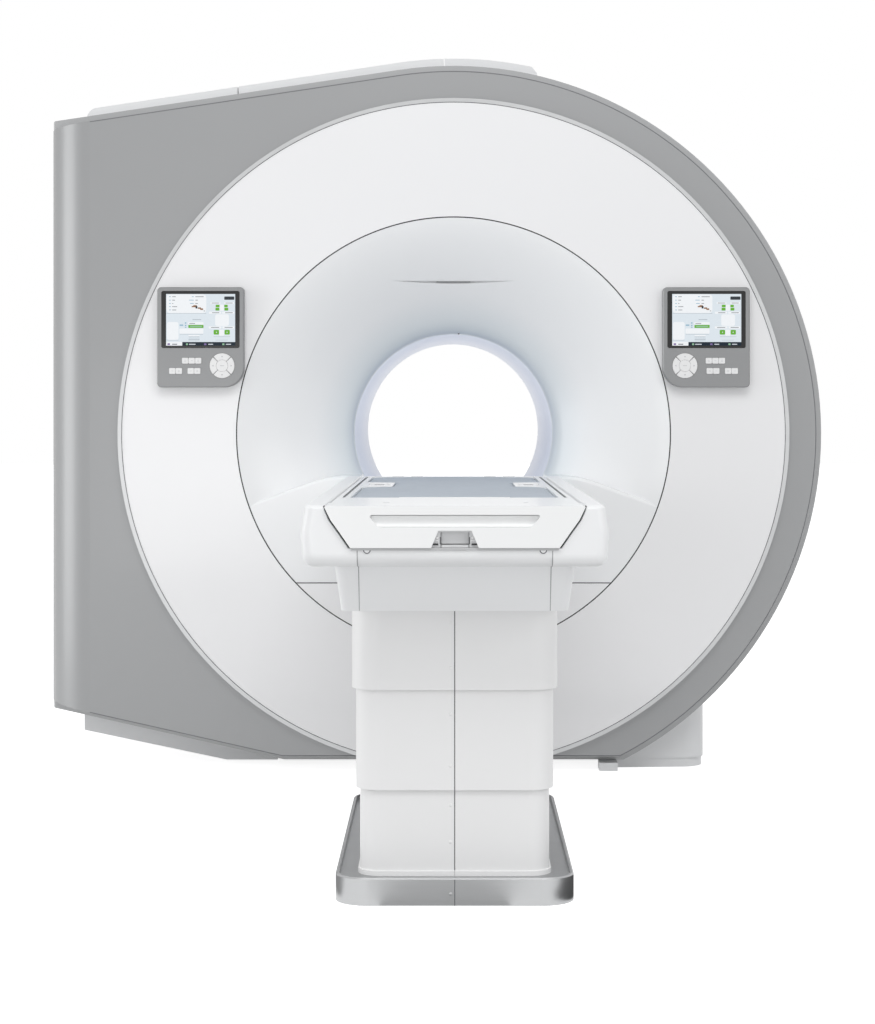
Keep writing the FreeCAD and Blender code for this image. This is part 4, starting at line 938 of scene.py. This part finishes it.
def column_seams():
    """Painted shade: an upright line down the joint in the middle of each column cover and the tray, front
    and back.
    """
    skirt_height, tray_lip = 0.014, 0.004
    for node, (body, inset, _) in LIFT_COVERS.items():
        low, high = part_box(node)
        foot = low.z + (skirt_height if inset else 0.0)
        head = high.z - (tray_lip if node == "base_tray" else 0.0)
        shells = [bead([(0, y, foot), (0, y, head)], 0.0028, PROUD, out)
                  for y, out in ((low.y + inset, FORWARD), (high.y - inset, BACKWARD))]
        make_piece(f"{node}_seam", shells, body, "panel_grey", JOINT_SHADE_AND_DOT_GREY)


def plug_screws():
    """Small domed plugs beside the joint on each cover's front."""
    x, radius, height = -0.0105, 0.0045, 0.0016
    for node, (body, inset, places) in LIFT_COVERS.items():
        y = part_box(node)[0].y + inset
        slot = "tray_steel" if node == "base_tray" else "column_white"
        shells = [dome((x, y, z), radius, height) for z in places]
        make_piece(f"{node}_plugs", shells, body, slot)


# -------- tabletop


def pad_half(y):
    """Half width of the pad at a place along it."""
    past = min(y - NOTCH_FRONT, NOTCH_BACK - y)
    share = min(max(past / NOTCH_SLANT, 0), 1)
    return PAD_HALF + (NOTCH_HALF - PAD_HALF) * share


def pad_front(x, y):
    """Place along the pad, moved back where its front edge steps back in the middle."""
    step = 1 if abs(x) < PAD_STEP_HALF else max(1 - (abs(x) - PAD_STEP_HALF) / 0.004, 0)
    fade = max(1 - (y - PAD_LOW.y) / 0.3, 0)
    return y + PAD_STEP * step * fade


def pad_rows():
    near = [0.0, 0.003, 0.008, 0.016, 0.03]
    notch = [-0.012, -0.004, 0.0, 0.007, 0.015, 0.023, 0.03, 0.036, 0.046]
    rows = [PAD_LOW.y + d for d in near] + [PAD_HIGH.y - d for d in near]
    rows += [NOTCH_FRONT + d for d in notch] + [NOTCH_BACK - d for d in notch]
    gaps = [(PAD_LOW.y + 0.03, NOTCH_FRONT - 0.012), (NOTCH_FRONT + 0.046, NOTCH_BACK - 0.046),
            (NOTCH_BACK + 0.012, PAD_HIGH.y - 0.03)]
    for start, stop in gaps:
        count = int((stop - start) / 0.03)
        rows += [start + (stop - start) * i / count for i in range(1, count)]
    return sorted(rows)


def pad():
    """Thin crowned pad: drawn-in sides, a soft edge roll and notches over the coil sockets."""
    rows = pad_rows()
    step = PAD_STEP_HALF / PAD_HALF
    shares = [-1, -0.988, -0.965, -0.93, -0.88, -0.8, -0.7, -0.6, -step - 0.02, -step, -step + 0.02,
              -0.4, -0.25, -0.1]
    shares += [-s for s in reversed(shares)]
    rim_z = PAD_HIGH.z - 0.0075
    crown, roll, sinks = 0.0030, 0.0045, 0.0004
    columns = len(shares)
    top, bottom = [], []
    for y in rows:
        for share in shares:
            x = share * pad_half(y)
            along = pad_front(x, y)
            edge = min((1 - abs(share)) * pad_half(y), y - PAD_LOW.y, PAD_HIGH.y - y)
            rise = 1 - exp(-edge / 0.006)
            bulge = crown * (1 - (x / PAD_HALF) ** 2)
            sag = sinks * sin(along * 9.0) * cos(x * 14.0) * rise
            top.append(Vector((x, along, rim_z + roll * rise + bulge * rise - sag)))
            bottom.append(Vector((x * 0.988, along, PAD_LOW.z)))
    verts = top + bottom
    offset = len(top)
    faces = grid_faces(len(rows), columns)
    faces += [tuple(offset + i for i in reversed(face)) for face in faces]
    last = (len(rows) - 1) * columns
    rim = list(range(columns)) + [r * columns + columns - 1 for r in range(1, len(rows))]
    rim += list(range(last + columns - 2, last - 1, -1))
    rim += [r * columns for r in range(len(rows) - 2, 0, -1)]
    middle_start = len(verts)
    for i, corner in enumerate(rim):
        before, after = verts[rim[i - 1]], verts[rim[(i + 1) % len(rim)]]
        along = after - before
        out = Vector((along.y, -along.x, 0)).normalized()
        waist = (verts[corner] + verts[offset + corner]) / 2
        verts.append(Vector((verts[corner].x, verts[corner].y, waist.z)) + out * 0.0012)
    count = len(rim)
    for i in range(count):
        j = (i + 1) % count
        faces.append((rim[i], middle_start + i, middle_start + j, rim[j]))
        faces.append((middle_start + i, offset + rim[i], offset + rim[j], middle_start + j))
    piece = make_piece("pad_skin", [(verts, faces)], "tabletop", "mattress_blue", crease=60)
    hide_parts("mattress")


def pad_stop():
    """White filler in front of the pad's stepped edge."""
    front, back = PAD_LOW.y + 0.0002, PAD_LOW.y + PAD_STEP - 0.0015
    half = PAD_STEP_HALF - 0.001
    filler = block(0, half, PAD_LOW.z, BOARD_TOP - 0.0004, front, back, 0.0006, steps=2)
    make_piece("pad_stop", [filler], "tabletop", "board_white")


def rails():
    """Rails sunk in the slots beside the pad, dark metal whose colour also paints the shade in the slots.
    """
    top, foot = BOARD_TOP - 0.0015, BOARD_TOP - 0.0095
    shells = []
    for sign in (-1, 1):
        x = sign * RAIL_X
        section = [(x - 0.0030, foot), (x + 0.0030, foot), (x + 0.0030, top - 0.002), (x + 0.0016, top),
                   (x - 0.0016, top), (x - 0.0030, top - 0.002)]
        shells.append(slab(section, PAD_LOW.y + 0.001, PAD_HIGH.y - 0.001, 0.0004, 1))
    make_piece("rail_inserts", shells, "tabletop", "lift_aluminium", PIN_METAL_AND_SLOT_SHADE)


def coil_sockets():
    """Connector bodies in the recesses beside the pad's notches, each with a slot, a dark patch that paints
    the shade in it.
    """
    middle, spacing = (NOTCH_FRONT + NOTCH_BACK) / 2, 0.030
    half, depth = 0.031, 0.0285
    slot_half, slot_depth = 0.015, 0.005
    floor, top = BOARD_TOP - 0.0118, BOARD_TOP - 0.0012
    bodies, slots = [], []
    for sign in (-1, 1):
        x = sign * (NOTCH_HALF + PAD_HALF) / 2
        for y in (middle - spacing, middle + spacing):
            bodies.append(block(x, half, floor, top, y - depth, y + depth, 0.0015, 0.0015, 2))
            slots.append(block(x, slot_half, top - 0.001, top + 0.0004,
                               y - slot_depth, y + slot_depth, 0.0004, 0.0002, 1))
    make_piece("socket_bodies", bodies, "tabletop", "key_white")
    make_piece("socket_slots", slots, "tabletop", "lift_aluminium", PIN_METAL_AND_SLOT_SHADE)


def board_marks():
    """Two faint dashes on the board's front, and two small clips either side at its far end."""
    y, deep, thin = PAD_LOW.y - 0.309, 0.003, 0.0004
    dashes = [block(x, half, BOARD_TOP - thin, BOARD_TOP + thin, y - deep, y + deep)
              for x, half in ((-0.172, 0.0085), (0.178, 0.006))]
    make_piece("board_marks", dashes, "tabletop", "board_white", FAINT_PRINT)
    half, front, back = 0.020, PAD_HIGH.y + 0.006, PAD_HIGH.y + 0.024
    clips = [block(x, half, BOARD_TOP - 0.001, BOARD_TOP + 0.003, front, back, 0.001, 0.001, 2)
             for x in (-0.125, -0.19, 0.125, 0.19)]
    make_piece("board_clips", clips, "tabletop", "board_white")


# handle slot: its lower and upper edges and their half widths
HANDLE_LOW, HANDLE_HIGH = BOARD_TOP - 0.052, BOARD_TOP - 0.022
HANDLE_LOW_HALF, HANDLE_HIGH_HALF = 0.1855, 0.2105


def handle_lining():
    """Curved wall inside the handle slot, deepest under its upper edge."""
    front, back = BOARD_LOW.y + 0.0012, BOARD_LOW.y + 0.014
    overlap, thickness, tilt = 0.003, 0.0012, 0.0004
    steps = 12
    stations = []
    for step in range(steps + 1):
        y, z = bezier((front, HANDLE_LOW + 0.0004), (back, HANDLE_LOW + 0.001),
                      (back, HANDLE_HIGH - 0.002), step / steps)
        rise = (z - HANDLE_LOW) / (HANDLE_HIGH - HANDLE_LOW)
        half = HANDLE_LOW_HALF + (HANDLE_HIGH_HALF - HANDLE_LOW_HALF) * rise + overlap
        behind, lower = y + thickness, z - tilt
        stations.append([(-half, y, z), (half, y, z), (half, behind, lower), (-half, behind, lower)])
    make_piece("handle_lining", [loft(stations)], "tabletop", "board_white")


# opening round the release lever: its height and half widths, and the half widths of the lever's
# plate and of the space between the cheeks
LEVER_OPENING = 0.0415
LEVER_FOOT_HALF, LEVER_TOP_HALF = 0.0576, 0.0402
LEVER_PLATE_HALF, LEVER_CHEEK = 0.0340, 0.0347


def lever_face():
    """Light grey plate of the release lever and the ends of its cross pin."""
    plate = block(0, LEVER_PLATE_HALF, LEVER_LOW.z + 0.0045, LEVER_HIGH.z + 0.0022,
                  LEVER_LOW.y - 0.005, LEVER_LOW.y + 0.006, 0.0012, 0.003)
    piece = make_piece("lever_face", [plate], "release_lever", "lever_grey")
    even_normals(piece)
    y, z, radius = LEVER_LOW.y + 0.004, LEVER_HIGH.z - 0.0042, 0.0035
    start, length, sides = 0.030, 0.0118, 16
    pins = []
    for sign in (-1, 1):
        section = [Vector((sign * start, y + radius * cos(a), z + radius * sin(a)))
                   for a in (2 * pi * i / sides for i in range(sides))]
        pins.append(loft([section, [p + Vector((sign * length, 0, 0)) for p in section]]))
    make_piece("lever_pins", pins, "release_lever", "lever_grey", PIN_METAL_AND_SLOT_SHADE)
    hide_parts("release_lever")


def lever_surround():
    """Ledge, lintel, cheeks, slots, stops and rollers round the release lever; the slots are dark strips
    that paint the shade in them.
    """
    y = BOARD_LOW.y
    back = y + 0.020
    foot, top = BOARD_LOW.z + 0.0003, BOARD_LOW.z + LEVER_OPENING
    ledge_half, ledge_height = 0.0330, 0.0068
    cheeks = [block(0, ledge_half, foot, foot + ledge_height, y + 0.006, back, 0.001, 0.0008, 2),
              block(0, LEVER_TOP_HALF, top - 0.0040, top, y + 0.010, back)]
    slots, stops, rollers = [], [], []
    for sign in (-1, 1):
        corners = [(LEVER_CHEEK, foot), (LEVER_FOOT_HALF, foot), (LEVER_TOP_HALF, top), (LEVER_CHEEK, top)]
        outline = [(sign * px, pz) for px, pz in corners]
        cheeks.append(slab(outline[::sign], y + 0.012, y + 0.05))
        x, half = sign * 0.0357, 0.0011
        slots.append(block(x, half, foot + 0.008, foot + 0.026, y + 0.0116, back))
        x, half = sign * 0.0470, 0.0068
        stops.append(block(x, half, foot + 0.0060, foot + 0.0100, y + 0.008, back, 0.001, 0.001))
        x, half = sign * 0.0435, 0.0040
        rollers.append(dome((x, y + 0.012, foot + 0.0235), half, 0.004))
        rollers.append(block(x, half, foot + 0.0150, foot + 0.0180, y + 0.009, back, 0.001, 0.001))
    make_piece("lever_cheeks", cheeks, "tabletop", "lever_grey")
    make_piece("lever_slots", slots, "tabletop", "lift_aluminium", PIN_METAL_AND_SLOT_SHADE)
    make_piece("lever_stops", stops, "tabletop", "panel_grey", NEAR_BLACK_STOPS_AND_GAP_SHADE)
    make_piece("lever_rollers", rollers, "tabletop", "key_white")


# -------- studio


# soft lamps: place, target, width, height and watts
LAMPS = {
    "key": ((0.2, -5.8, 5.6), (0, -1.2, 1.4), 4.5, 2.6, 124),
    "fill": ((3.8, -6.0, 2.4), (0, -1.2, 1.0), 2.4, 2.4, 33),
    "table_soft": ((-1.3, -6.4, 0.9), (0, -2.8, 0.5), 1.6, 1.2, 14),
    "left_strip": ((-4.7, -2.1, 1.5), (-1.3, -0.8, 1.2), 2.4, 3.4, 61),
}
# darker cards on the floor round the tray: limits in X and Y, and grey level
CARDS = {
    "right_card": ((0.318, 0.95), (-3.05, -2.3), 60),
    "middle_card": ((-0.19, 0.14), (-3.7, -2.965), 218),
    "left_card": ((-0.95, -0.36), (-2.9, -2.4), 170),
}
WHITE = (1, 1, 1, 1)
SKY_COLOUR, SKY_STRENGTH = (0.985, 0.99, 1.0, 1), 0.61
FLOOR_COLOUR, FLOOR_GLOW = (0.62, 0.62, 0.62, 1), 0.86
# the photograph's view
EYE = (-0.012, -8.640, 1.262)
LENS = 79.1
SHIFT_X, SHIFT_Y = -0.0122, -0.1035


def area_light(name, place, target, width, height, power):
    data = bpy.data.lights.new(name, "AREA")
    data.shape, data.size, data.size_y = "RECTANGLE", width, height
    data.energy = power
    lamp = bpy.data.objects.new(name, data)
    lamp.location = place
    lamp.rotation_mode = "QUATERNION"
    lamp.rotation_quaternion = (Vector(target) - lamp.location).to_track_quat("-Z", "Y")
    bpy.context.scene.collection.objects.link(lamp)


def looking_rays(tree):
    """1 for rays that look at the background, straight, by a reflection or through glass."""
    rays = tree.nodes.new("ShaderNodeLightPath")
    either = rays.outputs["Is Camera Ray"]
    for kind in ("Is Glossy Ray", "Is Transmission Ray"):
        larger = tree.nodes.new("ShaderNodeMath")
        larger.operation = "MAXIMUM"
        tree.links.new(either, larger.inputs[0])
        tree.links.new(rays.outputs[kind], larger.inputs[1])
        either = larger.outputs["Value"]
    return either


def white_world():
    world = bpy.data.worlds.new("studio")
    bpy.context.scene.world = world
    world.use_nodes = True
    tree = world.node_tree
    soft, white = tree.nodes["Background"], tree.nodes.new("ShaderNodeBackground")
    for background, colour, strength in ((soft, SKY_COLOUR, SKY_STRENGTH), (white, WHITE, 1.0)):
        background.inputs["Color"].default_value = colour
        background.inputs["Strength"].default_value = strength
    mix = tree.nodes.new("ShaderNodeMixShader")
    tree.links.new(looking_rays(tree), mix.inputs["Fac"])
    tree.links.new(soft.outputs["Background"], mix.inputs[1])
    tree.links.new(white.outputs["Background"], mix.inputs[2])
    tree.links.new(mix.outputs["Shader"], tree.nodes["World Output"].inputs["Surface"])


def sheet(name, across, along, material):
    """Flat rectangle at floor level, by its limits in X and Y."""
    (left, right), (front, back) = across, along
    corners = [(left, front, 0), (right, front, 0), (right, back, 0), (left, back, 0)]
    made = mesh_object(name, (corners, [(0, 1, 2, 3)]), closed=False)
    made.data.materials.append(material)
    return made


def white_floor():
    """Pale floor that reads white and keeps the object's soft shadow."""
    n = Nodes("floor")
    n.settle(Base_Color=FLOOR_COLOUR, Roughness=0.95, Specular_IOR_Level=0.0, Emission_Color=WHITE)
    lift = n.add("ShaderNodeMath", operation="MULTIPLY")
    lift.inputs[1].default_value = FLOOR_GLOW
    n.link(looking_rays(n.tree), lift.inputs[0])
    n.link(lift.outputs["Value"], n.shader.inputs["Emission Strength"])
    floor = sheet("floor", (-40, 40), (-40, 40), n.material)
    floor.location.z = -0.001


def floor_card(name, across, along, level):
    """Card lying beside the tray, which only reflections see."""
    card = sheet(name, across, along, moulded(name, srgb(level), 0.9))
    card.visible_camera = card.visible_diffuse = card.visible_shadow = False


def studio():
    white_world()
    white_floor()
    for name, settings in LAMPS.items():
        area_light(name, *settings)
    for name, settings in CARDS.items():
        floor_card(name, *settings)


def camera():
    data = bpy.data.cameras.new("camera")
    data.lens = LENS
    data.shift_x, data.shift_y = SHIFT_X, SHIFT_Y
    data.clip_end = 200
    eye = bpy.data.objects.new("camera", data)
    eye.location = EYE
    eye.rotation_euler = (pi / 2, 0, 0)
    bpy.context.scene.collection.objects.link(eye)
    bpy.context.scene.camera = eye


camera()
studio()
dress_nodes()

mouth()
outlet_louvre()
gantry_joint_shades()
rear_fixings()
for panel_side in ("left", "right"):
    display(panel_side)
    key_marks(panel_side)

wings()
gap_shadows()
frame_seams()
panel_tabs()
column_seams()
plug_screws()

pad()
pad_stop()
rails()
coil_sockets()
board_marks()
handle_lining()
lever_face()
lever_surround()

bpy.context.scene.view_settings.view_transform = "Standard"
